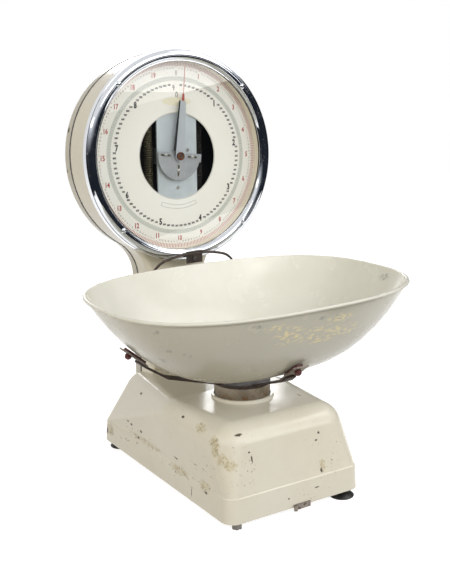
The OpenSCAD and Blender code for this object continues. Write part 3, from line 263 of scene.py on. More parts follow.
def frayed_place(tree, amount):
    """Object coordinates, plain and pushed about by fine noise, so that chips and stains get ragged edges."""
    place = add_node(tree, "ShaderNodeTexCoord").outputs["Object"]
    noise = add_node(tree, "ShaderNodeTexNoise", {"Scale": 260.0, "Detail": 3.0}, {"Vector": place})
    centred = add_node(tree, "ShaderNodeVectorMath", {"operation": "SUBTRACT", 1: (0.5, 0.5, 0.5)},
        {0: noise.outputs["Color"]})
    push = add_node(tree, "ShaderNodeVectorMath", {"operation": "SCALE", "Scale": amount * MM},
        {0: centred.outputs[0]})
    frayed = add_node(tree, "ShaderNodeVectorMath", {"operation": "ADD"}, {0: place, 1: push.outputs[0]})
    return place, frayed.outputs[0]


# Stove enamel, sprayed on sheet steel and baked: a soft gloss with faint orange peel, gone cream and a
# little patchy with age, rubbed yellow on the corners and chipped to dark brown steel by knocks
def stove_enamel(name, tones, chips, rubs, stains, nicks, inside=None):
    material, tree = new_material(name)
    place, ragged = frayed_place(tree, 13.0)
    crisp = frayed_place(tree, 2.5)[1]
    base = painted_over(tree, tones[0], tones[1], [uneven(tree, place, 7.0, 2.0, 0.3, 0.75)], 0.8)
    base = painted_over(tree, base, "#cfc7b4", [uneven(tree, place, 60.0, 4.0, 0.45, 0.85)], 0.25)
    # Specks of dirt are drawn at about 2 mm, coarser than the real ones, so that they show
    specks = uneven(tree, place, 380.0, 2.0, 0.66, 0.74)
    dirty = uneven(tree, place, 11.0, 2.0, 0.48, 0.6)
    base = painted_over(tree, base, "#85795f", [specks, dirty], 0.5)
    rough = uneven(tree, place, 30.0, 3.0, 0.3, 0.7, 0.13, 0.24)
    height = uneven(tree, place, 240.0, 2.0, 0.3, 0.7)
    if stains:
        blotchy = uneven(tree, place, 120.0, 3.0, 0.35, 0.6, 0.35, 1.0)
        base = painted_over(tree, base, "#a08c62", [patch_mask(tree, ragged, stains), blotchy], 0.75)
    if rubs:
        rubbed = patch_mask(tree, ragged, rubs)
        coarse = uneven(tree, place, 170.0, 3.0, 0.46, 0.64)
        fine = uneven(tree, place, 420.0, 2.0, 0.58, 0.66)
        base = painted_over(tree, base, "#c6ba95", [rubbed], 0.45)
        base = painted_over(tree, base, "#a38f5f", [rubbed, coarse], 0.5)
        base = painted_over(tree, base, "#6c6249", [rubbed, fine], 0.65)
    if nicks:
        # Knocks along the sides run with the length of the scale
        along = add_node(tree, "ShaderNodeMapping", {"Scale": (300.0, 110.0, 330.0)}, {"Vector": place})
        knocks = uneven(tree, along.outputs[0], 1.0, 2.0, 0.64, 0.7)
        base = painted_over(tree, base, "#5d523c", [patch_mask(tree, ragged, nicks), knocks], 0.75)
    if chips:
        chipped = patch_mask(tree, crisp, chips)
        base = painted_over(tree, base, "#3f3627", [chipped], 0.95)
        bare = add_node(tree, "ShaderNodeMath", {"operation": "MULTIPLY"},
            {0: chipped, 1: uneven(tree, place, 300.0, 1.0, 0.3, 0.6, 0.5, 0.8)})
        rough = add_node(tree, "ShaderNodeMath", {"operation": "MAXIMUM"},
            {0: rough, 1: bare.outputs[0]}).outputs[0]
        height = add_node(tree, "ShaderNodeMath", {"operation": "MULTIPLY_ADD", 1: -6.0},
            {0: chipped, 2: height}).outputs[0]
    if inside:
        blacked = inside(tree, place)
        base = painted_over(tree, base, "#4b4a45", [blacked])
        rough = add_node(tree, "ShaderNodeMath", {"operation": "MAXIMUM"}, {0: rough, 1: blacked}).outputs[0]
    bump = add_node(tree, "ShaderNodeBump", {"Strength": 0.5, "Distance": 0.02 * MM}, {"Height": height})
    skin = add_node(tree, "ShaderNodeBsdfPrincipled", {"IOR": 1.52},
        {"Base Color": base, "Roughness": rough, "Normal": bump.outputs[0]})
    if inside:
        dull = add_node(tree, "ShaderNodeMapRange", {"To Min": 0.5, "To Max": 0.2}, {"Value": blacked})
        tree.links.new(dull.outputs["Result"], skin.inputs["Specular IOR Level"])
    finish_material(tree, skin)
    return material


def inside_of_case(tree, place):
    """1 on the dead black paint behind the dial card, 0 elsewhere."""
    flat = add_node(tree, "ShaderNodeMapping", {"Location": (0, 0, -DIAL_Z), "Scale": (1, 0, 1)},
        {"Vector": place})
    far = add_node(tree, "ShaderNodeVectorMath", {"operation": "LENGTH"}, {0: flat.outputs[0]})
    deep = add_node(tree, "ShaderNodeSeparateXYZ", links={"Vector": place}).outputs["Y"]
    within = add_node(tree, "ShaderNodeMath", {"operation": "LESS_THAN", 1: BLACK_R},
        {0: far.outputs["Value"]})
    behind = add_node(tree, "ShaderNodeMath", {"operation": "GREATER_THAN", 1: CARD_Y}, {0: deep})
    before = add_node(tree, "ShaderNodeMath", {"operation": "LESS_THAN", 1: BLACK_Y}, {0: deep})
    for limit in (behind, before):
        within = add_node(tree, "ShaderNodeMath", {"operation": "MULTIPLY"},
            {0: within.outputs[0], 1: limit.outputs[0]})
    return within.outputs[0]


# Wear on the case: each patch is its centre and its half-size along x, y and z, in millimetres
CASING_CHIPS = [
    ((-104.4, 196, 28), (12, 9, 7.5)), ((-85.2, 111.3, 105.7), (4.5, 5.2, 2.4)),
    ((-103.5, 118.6, 64.8), (12, 3.3, 1.8)), ((-103.4, 107.3, 62.8), (12, 3.9, 2.2)),
    ((-103.3, 76.8, 61.5), (12, 4.5, 2.7)), ((-102.8, 86.7, 49.1), (12, 3.9, 2.7)),
    ((-98.7, -39.4, 116.6), (4.5, 3.9, 2.1)), ((-103.1, -25.6, 56), (12, 6.3, 1.4)),
    ((-104, 89.7, 40), (12, 2.1, 1.8)), ((-72.9, -131.4, 115.1), (6.8, 3, 2)),
    ((-61.6, -145.1, 84.5), (1.2, 3, 6.8)), ((-64.2, -142.5, 94), (1.8, 3, 1.5)),
    ((-105, -68.8, 24.5), (12, 1, 8.2)), ((-104.3, -104.3, 36.4), (12, 3.9, 2.1)),
    ((45.6, -141.8, 96.4), (2.1, 3, 2.1)), ((39.7, -144.1, 88.1), (2.7, 3, 1.5)),
    ((40.5, -154.6, 50.4), (2, 3, 3.9)), ((30.7, -158.1, 30.5), (4.5, 3, 1.2)),
    ((63.4, -76.8, 126.5), (1.5, 6, 2.2)), ((-14.5, -158.4, 25.9), (1.5, 3, 1.8))]
CASING_RUBS = [
    ((-96.8, -82.1, 114.1), (9, 12, 7)), ((-98.4, -113.7, 107.2), (9, 7, 7)),
    ((-98.7, -121, 98), (9, 6, 10)), ((-96, -131, 88), (8, 8, 9)),
    ((-89, -140, 82), (10, 8, 7)), ((-104.6, 182, 33), (9, 14, 10)),
    ((-102.7, -99.5, 43), (9, 14, 9)), ((43, -153, 55), (5, 9, 10)),
    ((-104, -35, 42), (9, 28, 7)), ((-100, 60, 50), (12, 60, 5))]
CASING_STAINS = [((-104.5, 175, 32), (9, 8, 8)), ((0, 140, 119), (52, 7, 4)), ((-50, 170, 110), (9, 42, 4))]
CASING_NICKS = [
    ((-104, 90, 55), (16, 50, 16)), ((-104, -20, 40), (16, 80, 14)), ((-104, 150, 34), (14, 50, 14)),
    ((-100, -95, 60), (14, 40, 30)), ((-70, -150, 70), (14, 16, 40)), ((62, -155, 55), (14, 16, 16))]
COLUMN_STAINS = [((0, 165, 127), (70, 60, 2.4))]
COVER_CHIPS = [((-144, 195, 488), (6, 4, 5)), ((-147, 196, 430), (6, 3, 2.5))]

# Wear on the pan, given in the same way: scuffs under its front and smudges below its rim
PAN_SCUFFS = [
    ((-38, -190, 248), (26, 30, 15)), ((12, -186, 242), (40, 30, 16)), ((52, -185, 243), (26, 30, 10)),
    ((34, -197, 262), (24, 20, 7)), ((-60, -190, 262), (22, 20, 6))]
PAN_SMUDGES = [
    ((4.5, -199.5, 265.7), (7, 6, 3)), ((27.3, -197.9, 263.6), (5, 5, 3)),
    ((-88, -195, 266), (9, 6, 3)), ((-163.5, -110, 220), (7, 10, 6)), ((-150, -146, 232), (8, 8, 5)),
    ((-168, -132, 236), (6, 8, 5)), ((-188, -140, 264), (5, 8, 4)), ((207, -88, 277), (6, 12, 8))]


# Vitreous enamel, dipped and fired on pressed steel: a harder, glassier skin than the case's, pale inside,
# outside darker with painted shade where it faces down, scuffed yellowish and grey where the pan has been set
# down
def vitreous_enamel():
    material, tree = new_material("vitreous_enamel_cream")
    place, frayed = frayed_place(tree, 6.0)
    base = painted_over(tree, "#d9d8ce", "#d3d0c4", [uneven(tree, place, 7.0, 2.0, 0.3, 0.75)], 0.8)
    base = painted_over(tree, base, "#cbc8b9", [uneven(tree, place, 60.0, 4.0, 0.45, 0.85)], 0.25)
    facing = add_node(tree, "ShaderNodeTexCoord").outputs["Normal"]
    upwards = add_node(tree, "ShaderNodeSeparateXYZ", links={"Vector": facing}).outputs["Z"]
    outside = add_node(tree, "ShaderNodeMapRange", {"From Min": 0.05, "From Max": -0.15},
        {"Value": upwards}).outputs[0]
    # Painted shade: the outside, which faces down, is drawn darker
    base = painted_over(tree, base, "#b4b1a0", [outside], 0.6)
    lying = add_node(tree, "ShaderNodeMapping", {"Scale": (130.0, 200.0, 330.0)}, {"Vector": place})
    flecks = uneven(tree, lying.outputs[0], 1.0, 3.0, 0.5, 0.58)
    base = painted_over(tree, base, "#e9dcae", [flecks, patch_mask(tree, frayed, PAN_SCUFFS), outside], 0.95)
    cloudy = uneven(tree, place, 150.0, 3.0, 0.4, 0.62)
    base = painted_over(tree, base, "#83847f", [patch_mask(tree, frayed, PAN_SMUDGES), cloudy], 0.6)
    specks = uneven(tree, place, 330.0, 2.0, 0.71, 0.77)
    base = painted_over(tree, base, "#7c7767", [specks, outside], 0.5)
    rough = uneven(tree, place, 25.0, 3.0, 0.3, 0.7, 0.16, 0.3)
    bump = add_node(tree, "ShaderNodeBump", {"Strength": 0.4, "Distance": 0.04 * MM},
        {"Height": uneven(tree, place, 150.0, 2.0, 0.3, 0.7)})
    finish_material(tree, add_node(tree, "ShaderNodeBsdfPrincipled", {"IOR": 1.52},
        {"Base Color": base, "Roughness": rough, "Normal": bump.outputs[0]}))
    return material


# Metal whose surface keeps the marks of how it was made: grain is the size of a mark in millimetres,
# drawn coarser than the real one where that would be too fine to show, and run stretches it along x, y, z
def worked_metal(name, bright, dull, roughness, grain, run=(1, 1, 1), metallic=1.0, depth=0.02, grime=None):
    material, tree = new_material(name)
    place = add_node(tree, "ShaderNodeTexCoord").outputs["Object"]
    drawn = add_node(tree, "ShaderNodeMapping", {"Scale": [1 / (grain * MM * r) for r in run]},
        {"Vector": place})
    marks = uneven(tree, drawn.outputs[0], 1.0, 3.0, 0.3, 0.7)
    base = painted_over(tree, bright, dull, [marks], 0.55)
    base = painted_over(tree, base, dull, [uneven(tree, place, 45.0, 3.0, 0.45, 0.7)], 0.6)
    if grime:
        base = painted_over(tree, base, grime, [uneven(tree, place, 160.0, 3.0, 0.56, 0.7)], 0.8)
    low, high = roughness
    rough = uneven(tree, place, 90.0, 3.0, 0.3, 0.7, low, high)
    bump = add_node(tree, "ShaderNodeBump", {"Strength": 0.6, "Distance": depth * MM}, {"Height": marks})
    finish_material(tree, add_node(tree, "ShaderNodeBsdfPrincipled", {"Metallic": metallic},
        {"Base Color": base, "Roughness": rough, "Normal": bump.outputs[0]}))
    return material


# Chromium plate, buffed over pressed brass: mirror-bright with slow waves from the buffing and dull pits
def chromium_plate():
    material, tree = new_material("chromium_plate_buffed")
    place = add_node(tree, "ShaderNodeTexCoord").outputs["Object"]
    pits = uneven(tree, place, 420.0, 2.0, 0.7, 0.76)
    base = painted_over(tree, "#d6d9de", "#6e6257", [pits], 0.7)
    haze = uneven(tree, place, 60.0, 3.0, 0.4, 0.75, 0.04, 0.14)
    rough = add_node(tree, "ShaderNodeMath", {"operation": "MULTIPLY_ADD", 1: 0.35}, {0: pits, 2: haze})
    bump = add_node(tree, "ShaderNodeBump", {"Strength": 0.25, "Distance": 0.12 * MM},
        {"Height": uneven(tree, place, 38.0, 1.0, 0.3, 0.7)})
    finish_material(tree, add_node(tree, "ShaderNodeBsdfPrincipled", {"Metallic": 1.0},
        {"Base Color": base, "Roughness": rough.outputs[0], "Normal": bump.outputs[0]}))
    return material


# Moulded rubber: dull, with a patchy bloom of paler dust
def moulded_rubber(name, body, bloom, low, high):
    material, tree = new_material(name)
    place = add_node(tree, "ShaderNodeTexCoord").outputs["Object"]
    base = painted_over(tree, body, bloom, [uneven(tree, place, 110.0, 4.0, 0.45, 0.75)], 0.6)
    rough = uneven(tree, place, 80.0, 2.0, 0.3, 0.7, low, high)
    bump = add_node(tree, "ShaderNodeBump", {"Strength": 0.4, "Distance": 0.05 * MM},
        {"Height": uneven(tree, place, 500.0, 2.0, 0.3, 0.7)})
    finish_material(tree, add_node(tree, "ShaderNodeBsdfPrincipled", {"IOR": 1.52},
        {"Base Color": base, "Roughness": rough, "Normal": bump.outputs[0]}))
    return material


# Rings printed on the dial card: the middle radius and half the width in millimetres, the ink and how
# strongly it covers. They are the kilogram scale's grey-green band, its two edges, a blush under the
# ounce marks and the dark edge of the aperture
CARD_RINGS = [
    (111.6, 2.7, "#c9ccc4", 0.7),
    (108.9, 0.25, "#a2a89f", 0.6),
    (114.4, 0.25, "#a2a89f", 0.6),
    (132.6, 3.2, "#e6d6cd", 0.1),
    (63.3, 0.5, "#8b8c86", 0.5)]


# Dial card: stoved ivory on sheet zinc, almost matt, with rings printed on it
def dial_card():
    material, tree = new_material("stoved_ivory_dial_card")
    place = add_node(tree, "ShaderNodeTexCoord").outputs["Object"]
    base = painted_over(tree, "#e8e9e4", "#e1dfd3", [uneven(tree, place, 10.0, 3.0, 0.35, 0.7)], 0.6)
    flat = add_node(tree, "ShaderNodeMapping", {"Location": (0, 0, -DIAL_Z), "Scale": (1, 0, 1)},
        {"Vector": place})
    far = add_node(tree, "ShaderNodeVectorMath", {"operation": "LENGTH"}, {0: flat.outputs[0]})
    for middle, half, ink, strength in CARD_RINGS:
        ring = add_node(tree, "ShaderNodeMath", {"operation": "COMPARE", 1: middle * MM, 2: half * MM},
            {0: far.outputs["Value"]})
        base = painted_over(tree, base, ink, [ring.outputs[0]], strength)
    specks = uneven(tree, place, 300.0, 2.0, 0.72, 0.78)
    base = painted_over(tree, base, "#9a9484", [specks], 0.4)
    rough = uneven(tree, place, 60.0, 2.0, 0.3, 0.7, 0.5, 0.62)
    finish_material(tree, add_node(tree, "ShaderNodeBsdfPrincipled", {"IOR": 1.5},
        {"Base Color": base, "Roughness": rough}))
    return material


# Printing ink: thin and a little uneven, so that it pales in patches
def printing_ink(name, full, thin):
    material, tree = new_material(name)
    place = add_node(tree, "ShaderNodeTexCoord").outputs["Object"]
    base = painted_over(tree, full, thin, [uneven(tree, place, 260.0, 3.0, 0.42, 0.7)], 0.7)
    rough = uneven(tree, place, 120.0, 2.0, 0.3, 0.7, 0.45, 0.6)
    finish_material(tree, add_node(tree, "ShaderNodeBsdfPrincipled", {"IOR": 1.5},
        {"Base Color": base, "Roughness": rough}))
    return material


# Drawn sheet glass: clear, flat to a hair, with the faintest wave
def window_glass():
    material, tree = new_material("drawn_sheet_glass")
    place = add_node(tree, "ShaderNodeTexCoord").outputs["Object"]
    bump = add_node(tree, "ShaderNodeBump", {"Strength": 0.03, "Distance": 0.02 * MM},
        {"Height": uneven(tree, place, 18.0, 1.0, 0.3, 0.7)})
    finish_material(tree, add_node(tree, "ShaderNodeBsdfPrincipled",
        {"Base Color": colour("#ffffff"), "Roughness": 0.0, "Transmission Weight": 1.0, "IOR": 1.5},
        {"Normal": bump.outputs[0]}))
    return material


# The pointer's blade: folded sheet aluminium, lacquered pale grey, with painted shade: black where it faces
# left
def pointer_blade():
    material, tree = new_material("lacquered_aluminium_pointer")
    coordinates = add_node(tree, "ShaderNodeTexCoord")
    place = coordinates.outputs["Object"]
    drawn = add_node(tree, "ShaderNodeMapping", {"Scale": (1400.0, 1400.0, 60.0)}, {"Vector": place})
    brushed = uneven(tree, drawn.outputs[0], 1.0, 3.0, 0.3, 0.7)
    base = painted_over(tree, "#a6afb5", "#adb3b6", [brushed], 0.8)
    # Painted shade: every face turned to the left is drawn black, for the shade that side stands in
    aside = add_node(tree, "ShaderNodeSeparateXYZ", links={"Vector": coordinates.outputs["Normal"]})
    edge = add_node(tree, "ShaderNodeMapRange", {"From Min": -0.4, "From Max": -0.6},
        {"Value": aside.outputs["X"]})
    base = painted_over(tree, base, "#17181a", [edge.outputs[0]])
    rough = uneven(tree, place, 70.0, 2.0, 0.3, 0.7, 0.32, 0.46)
    finish_material(tree, add_node(tree, "ShaderNodeBsdfPrincipled", {"Metallic": 0.0},
        {"Base Color": base, "Roughness": rough}))
    return material


CASING = stove_enamel("stove_enamel_cream_casing", ("#dcd8cb", "#d5cfbc"),
    CASING_CHIPS, CASING_RUBS, CASING_STAINS, CASING_NICKS)
HOUSING = stove_enamel("stove_enamel_cream_column", ("#dad5c6", "#d2ccb8"),
    [], [], COLUMN_STAINS, [], inside_of_case)
# Painted shade: the back cover takes a darker copy of the cream enamel, for the shade its rim stands in
COVER = stove_enamel("stove_enamel_cream_cover_painted_shade", ("#bdb8a8", "#b0aa96"),
    COVER_CHIPS, [], [], [], inside_of_case)
RUBBER = moulded_rubber("moulded_black_rubber", "#161616", "#2c2b29", 0.3, 0.5)
# Turned steel of the foot studs: gone dull grey, with dirt in the marks
FOOT_STUD = worked_metal("foot_stud_steel_dulled", "#8d8a84", "#5b5751", (0.35, 0.5), 1.0, (1, 1, 0.4),
    metallic=0.7, grime="#4c463d")

finishes = {
    "enamel_cream": CASING,
    "pan_enamel": vitreous_enamel(),
    "chrome_bright": chromium_plate(),
    # Bright turned screws with old dirt round their heads
    "zinc_screws": worked_metal("zinc_plated_steel_turned", "#c4c3bd", "#8f8c85", (0.22, 0.4), 0.8,
        grime="#5a5247"),
    # Grey rolled sheet with streaks along the roll and a start of rust
    "plate_steel": worked_metal("bare_steel_sheet_rolled", "#a9a6a0", "#6d675f", (0.35, 0.55), 2.5, (1, 6, 1),
        grime="#5d4a38"),
    # Turned rings round the spigot, tarnished brownish
    "spigot_steel": worked_metal("turned_steel_tarnished", "#a79d8e", "#817567", (0.26, 0.4), 1.2,
        (4, 4, 0.25), metallic=0.75, grime="#8c6b4a"),
    # Dark, coarse forged skin under a film of oil
    "lever_steel": worked_metal("forged_steel_oiled", "#6c6a67", "#3d3a37", (0.4, 0.6), 3.0, depth=0.15),
    # Nearly black brown with paler wear, hardly shining
    "spider_enamel": worked_metal("browned_steel_worn", "#43362f", "#1f1814", (0.42, 0.6), 2.0, metallic=0.15,
        depth=0.06, grime="#5a4237"),
    # Pale blue-grey under lacquer, brushed up and down
    "movement_grey": worked_metal("brushed_zinc_plate_lacquered", "#bac3c7", "#a9b3b7", (0.4, 0.5), 0.9,
        (1, 1, 14), metallic=0.15, depth=0.01),
    # Yellow brass gone brown in its marks
    "brass_parts": worked_metal("turned_brass_aged", "#b58a4e", "#7c5530", (0.28, 0.45), 0.9,
        grime="#6a3a22"),
    # Olive-brown wire with a soft gleam on each coil
    "spring_steel": worked_metal("oil_tempered_spring_wire", "#6a654c", "#3f3b2c", (0.35, 0.5), 1.0,
        metallic=0.4),
    "black_rubber": RUBBER,
    "red_rubber": moulded_rubber("moulded_red_rubber", "#521512", "#2e0e0c", 0.4, 0.6),
    "clear_glass": window_glass(),
    "chart_card": dial_card(),
    "pointer_paint": pointer_blade(),
    # A thin even red, a little dull
    "pointer_red": worked_metal("red_lacquer_on_wire", "#b0483a", "#8f3228", (0.35, 0.5), 2.0, metallic=0.0,
        depth=0.01),
}
special = {
    "foot_stud_fl": FOOT_STUD,
    "foot_stud_fr": FOOT_STUD,
    "foot_stud_rl": FOOT_STUD,
    "foot_stud_rr": FOOT_STUD,
    "front_housing": HOUSING,
    "rear_cover": COVER,
    # Dark brown shaft end in the middle of the boss
    "spindle": worked_metal("spindle_steel_browned", "#58452f", "#2a281f", (0.4, 0.6), 1.2, metallic=0.4,
        grime="#1c1d18"),
    # The same wire as the left spring's, drawn near black as painted shade because it stands in shade
    "load_spring_right": worked_metal("spring_wire_in_shade", "#2b2820", "#15130f", (0.5, 0.7), 1.0,
        metallic=0.2),
    # Mid-grey sheet brushed up and down, a shade darker than the plate behind it
    "counterweight": worked_metal("brushed_steel_counterweight", "#a2a6a8", "#8b9194", (0.36, 0.48), 0.8,
        (1, 1, 10), metallic=0.3, depth=0.01),
    # Red-brown brass, almost without shine
    "pointer_hub": worked_metal("red_brass_boss_aged", "#6a4029", "#40271a", (0.4, 0.55), 1.0, metallic=0.5,
        grime="#2b1d14"),
    # Grey-brown strip with bright patches where the buffers have rubbed
    "arm_clips": worked_metal("steel_strip_browned", "#8d857d", "#5f544b", (0.32, 0.5), 2.0,
        grime="#4a3428"),
    # Worn bright on its bends and brown between them
    "front_clip": worked_metal("steel_catch_worn_bright", "#8f8880", "#5c5148", (0.35, 0.5), 2.0,
        metallic=0.6, grime="#3b281d"),
}
for entry in frame["record"]["subparts"]:
    piece = nodes[entry["node"]]
    piece.data.materials.clear()
    piece.data.materials.append(special.get(entry["node"], finishes[entry["material_slot"]]))
# The glass casts no shadow and diffuse rays pass it by, so that the lamps light the dial behind it
nodes["glass"].visible_shadow = False
nodes["glass"].visible_diffuse = False


def add_piece(name, mesh, material, body):
    data = bpy.data.meshes.new(name)
    mesh.to_mesh(data)
    mesh.free()
    made = bpy.data.objects.new(name, data)
    bpy.context.scene.collection.objects.link(made)
    data.materials.append(material)
    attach(made, body)
    return made


def on_dial(radius, degrees, lift=0.0):
    """A place on the dial card: degrees clockwise from the top, lift in front of the card."""
    turn = math.radians(degrees)
    return Vector((radius * MM * math.sin(turn), CARD_Y - lift * MM, DIAL_Z + radius * MM * math.cos(turn)))


def print_bar(mesh, wide, high, radius, degrees, lift):
    """Prints a small bar with its middle on the dial card and gives its four corners."""
    made = bmesh.ops.create_grid(mesh, x_segments=1, y_segments=1, size=0.5)["verts"]
    bmesh.ops.scale(mesh, vec=(wide * MM, high * MM, 1), verts=made)
    bmesh.ops.rotate(mesh, cent=(0, 0, 0), matrix=UPRIGHT, verts=made)
    bmesh.ops.translate(mesh, vec=on_dial(radius, 0, lift), verts=made)
    turn = Matrix.Rotation(math.radians(degrees), 3, "Y")
    bmesh.ops.rotate(mesh, cent=on_dial(0, 0), matrix=turn, verts=made)
    return made


def print_ticks(mesh, count, inner, outer, width, lift):
    """Prints one tick at the top of the dial and repeats it all the way round."""
    made = print_bar(mesh, width, outer - inner, (inner + outer) / 2, 0, lift)
    face = made[0].link_faces[0]
    bmesh.ops.spin(mesh, geom=made + face.edges[:] + [face], cent=on_dial(0, 0), axis=(0, 1, 0),
        steps=count - 1, angle=2 * math.pi * (count - 1) / count, use_duplicate=True)


glyphs = {}


def glyph(text, weight):
    """The flat outline of a numeral, one unit high, from the built-in typeface."""
    if (text, weight) not in glyphs:
        curve = bpy.data.curves.new("numeral", "FONT")
        curve.body = text
        curve.align_x = "CENTER"
        curve.resolution_u = 2
        curve.offset = weight
        maker = bpy.data.objects.new("numeral", curve)
        bpy.context.scene.collection.objects.link(maker)
        evaluated = maker.evaluated_get(bpy.context.evaluated_depsgraph_get())
        outline = bpy.data.meshes.new_from_object(evaluated)
        bpy.data.objects.remove(maker)
        tall = [vert.co.y for vert in outline.vertices]
        outline.transform(Matrix.Translation((0, -(max(tall) + min(tall)) / 2, 0)))
        outline.transform(Matrix.Scale(1 / (max(tall) - min(tall)), 4))
        glyphs[(text, weight)] = outline
    return glyphs[(text, weight)]


def print_numeral(mesh, text, place, height, narrow, weight=0.0):
    """Prints an upright numeral with its middle at the place, narrowed and thickened as the dial's are."""
    outline = glyph(text, weight).copy()
    outline.transform(Matrix.Diagonal((height * narrow * MM, height * MM, 1, 1)))
    outline.transform(Matrix.Translation(place) @ UPRIGHT.to_4x4())
    mesh.from_mesh(outline)
    bpy.data.meshes.remove(outline)


# In the print, ticks are given by count, inner and outer radius, width and lift, and numerals by their
# radius, height, narrowness and weight, all lengths in millimetres. Ticks laid over others lie higher
def print_pounds():
    """The red outer scale: a mark for each ounce, drawn wider than the real ones so that it shows."""
    red = bmesh.new()
    print_ticks(red, 320, 129.4, 135.4, 0.85, 0.06)
    print_ticks(red, 20, 127.6, 135.6, 0.8, 0.07)
    for pound in range(1, 20):
        print_numeral(red, str(pound), on_dial(121.0, pound * POUND, 0.08), 7.9, 0.76, 0.035)
    ounces = bmesh.new()
    for pound in range(20):
        for ounce in range(2, 16, 2):
            place = on_dial(126.3, (pound + ounce / 16) * POUND, 0.08)
            print_numeral(ounces, str(ounce), place, 2.4, 0.8, 0.03)
    ounce_ink = printing_ink("printing_ink_red_brown", "#654640", "#86615a")
    add_piece("dial_print_ounces", ounces, ounce_ink, "case")
    pound_ink = printing_ink("printing_ink_red", "#a03b31", "#b4574b")
    add_piece("dial_print_pounds", red, pound_ink, "case")


def print_kilograms():
    """The inner scale: fine marks on the grey-green band, and black numerals inside it."""
    fine = bmesh.new()
    print_ticks(fine, 907, 109.4, 113.9, 0.14, 0.05)
    print_ticks(fine, 181, 107.6, 113.9, 0.26, 0.06)
    gram_ink = printing_ink("printing_ink_grey_green", "#7d867b", "#98a094")
    add_piece("dial_print_grams", fine, gram_ink, "case")

    black = bmesh.new()
    for tenth in range(1, 90):
        if tenth % 10:
            place = on_dial(102.6, tenth / 10 * KILOGRAM, 0.08)
            print_numeral(black, str(tenth % 10) + "00", place, 3.2, 0.86, 0.05)
    for kilogram in range(1, 9):
        print_numeral(black, str(kilogram), on_dial(99.8, kilogram * KILOGRAM, 0.09), 9.8, 0.76, 0.045)
    print_numeral(black, "9", on_dial(98.5, 9 * KILOGRAM, 0.09), 8.4, 0.72, 0.01)
    print_numeral(black, "0", on_dial(88.5, 0, 0.09), 9.4, 0.68, 0.005)
    kilogram_ink = printing_ink("printing_ink_black", "#171715", "#30302c")
    add_piece("dial_print_kilograms", black, kilogram_ink, "case")


def print_rules():
    """The outer scale's nought, and two curved rules with side rules below the aperture, left empty."""
    rule_radii = (71.5, 77.0)
    half_span = 23
    rule = 0.4
    grey = bmesh.new()
    print_numeral(grey, "0", on_dial(119.6, 0, 0.08), 7.6, 0.75, 0.01)
    for radius in rule_radii:
        start = print_bar(grey, 0.02, rule, radius, 180 - half_span, 0.08)
        middle = on_dial(0, 0)
        across = [edge for edge in start[0].link_faces[0].edges
            if abs((edge.verts[0].co - middle).length - (edge.verts[1].co - middle).length) > rule / 2 * MM]
        bmesh.ops.spin(grey, geom=across[:1], cent=middle, axis=(0, 1, 0), steps=24,
            angle=math.radians(2 * half_span))
    for degrees in (180 - half_span, 180 + half_span):
        print_bar(grey, rule, rule_radii[1] - rule_radii[0], sum(rule_radii) / 2, degrees, 0.08)
    add_piece("dial_print_rules", grey, printing_ink("printing_ink_grey", "#77776f", "#93938a"), "case")


def lay_label():
    """The pale oval transfer above the aperture, left bare, with a slightly raised edge."""
    half_long, half_high = 24 * MM, 6.2 * MM
    label = bmesh.new()
    bmesh.ops.create_circle(label, segments=64, radius=1.0, cap_ends=True)
    bmesh.ops.scale(label, vec=(half_long, half_high, 1), verts=label.verts)
    border = bmesh.ops.inset_region(label, faces=label.faces[:], thickness=0.6 * MM)["faces"]
    bmesh.ops.translate(label, vec=(0, 0, 0.12 * MM),
        verts=[vert for face in label.faces if face not in border for vert in face.verts])
    bmesh.ops.rotate(label, cent=(0, 0, 0), matrix=UPRIGHT, verts=label.verts)
    bmesh.ops.translate(label, vec=on_dial(79, 0, 0.03), verts=label.verts)
    add_piece("dial_label", label, printing_ink("pale_yellow_transfer", "#dedac0", "#dedccb"), "case")


def set_on_pointer(mesh):
    """Moves a mesh drawn round the origin, for an upright pointer, to where the pointer stands at rest."""
    turn = Matrix.Rotation(math.radians(POINTER_LEAD), 3, "Y")
    bmesh.ops.rotate(mesh, cent=(0, 0, 0), matrix=turn, verts=mesh.verts)
    bmesh.ops.translate(mesh, vec=(0, FACE_Y, DIAL_Z), verts=mesh.verts)


def fit_counterweight():
    """Bright screw heads in the counterweight's slots, and the dark washer plates that show through them."""
    # Each slot's middle across and up from the spindle, and whether it stands upright
    slots = ((-23, 0, False), (22, 0, False), (0, -21, True))
    head_r, head_deep, plate_deep = 2.7 * MM, 10.0 * MM, 12.2 * MM
    plate_long, plate_wide, plate_thick = 17.5 * MM, 4.4 * MM, 0.5 * MM
    heads, backs = bmesh.new(), bmesh.new()
    for x, z, upright in slots:
        dome = bmesh.ops.create_uvsphere(heads, u_segments=20, v_segments=10, radius=head_r)["verts"]
        bmesh.ops.scale(heads, vec=(1, 0.55, 1), verts=dome)
        bmesh.ops.translate(heads, vec=(x * MM, head_deep, z * MM), verts=dome)
        plate = bmesh.ops.create_cube(backs, size=1.0)["verts"]
        across, up = (plate_wide, plate_long) if upright else (plate_long, plate_wide)
        bmesh.ops.scale(backs, vec=(across, plate_thick, up), verts=plate)
        bmesh.ops.translate(backs, vec=(x * MM, plate_deep, z * MM), verts=plate)
    bmesh.ops.bevel(backs, geom=backs.edges[:], offset=0.12 * MM, segments=1, profile=0.5, affect="EDGES",
        material=-1)
    set_on_pointer(heads)
    set_on_pointer(backs)
    for face in heads.faces:
        face.smooth = True
    add_piece("weight_screw_heads", heads, finishes["zinc_screws"], "pointer")
    add_piece("weight_slot_backs", backs, finishes["spring_steel"], "pointer")


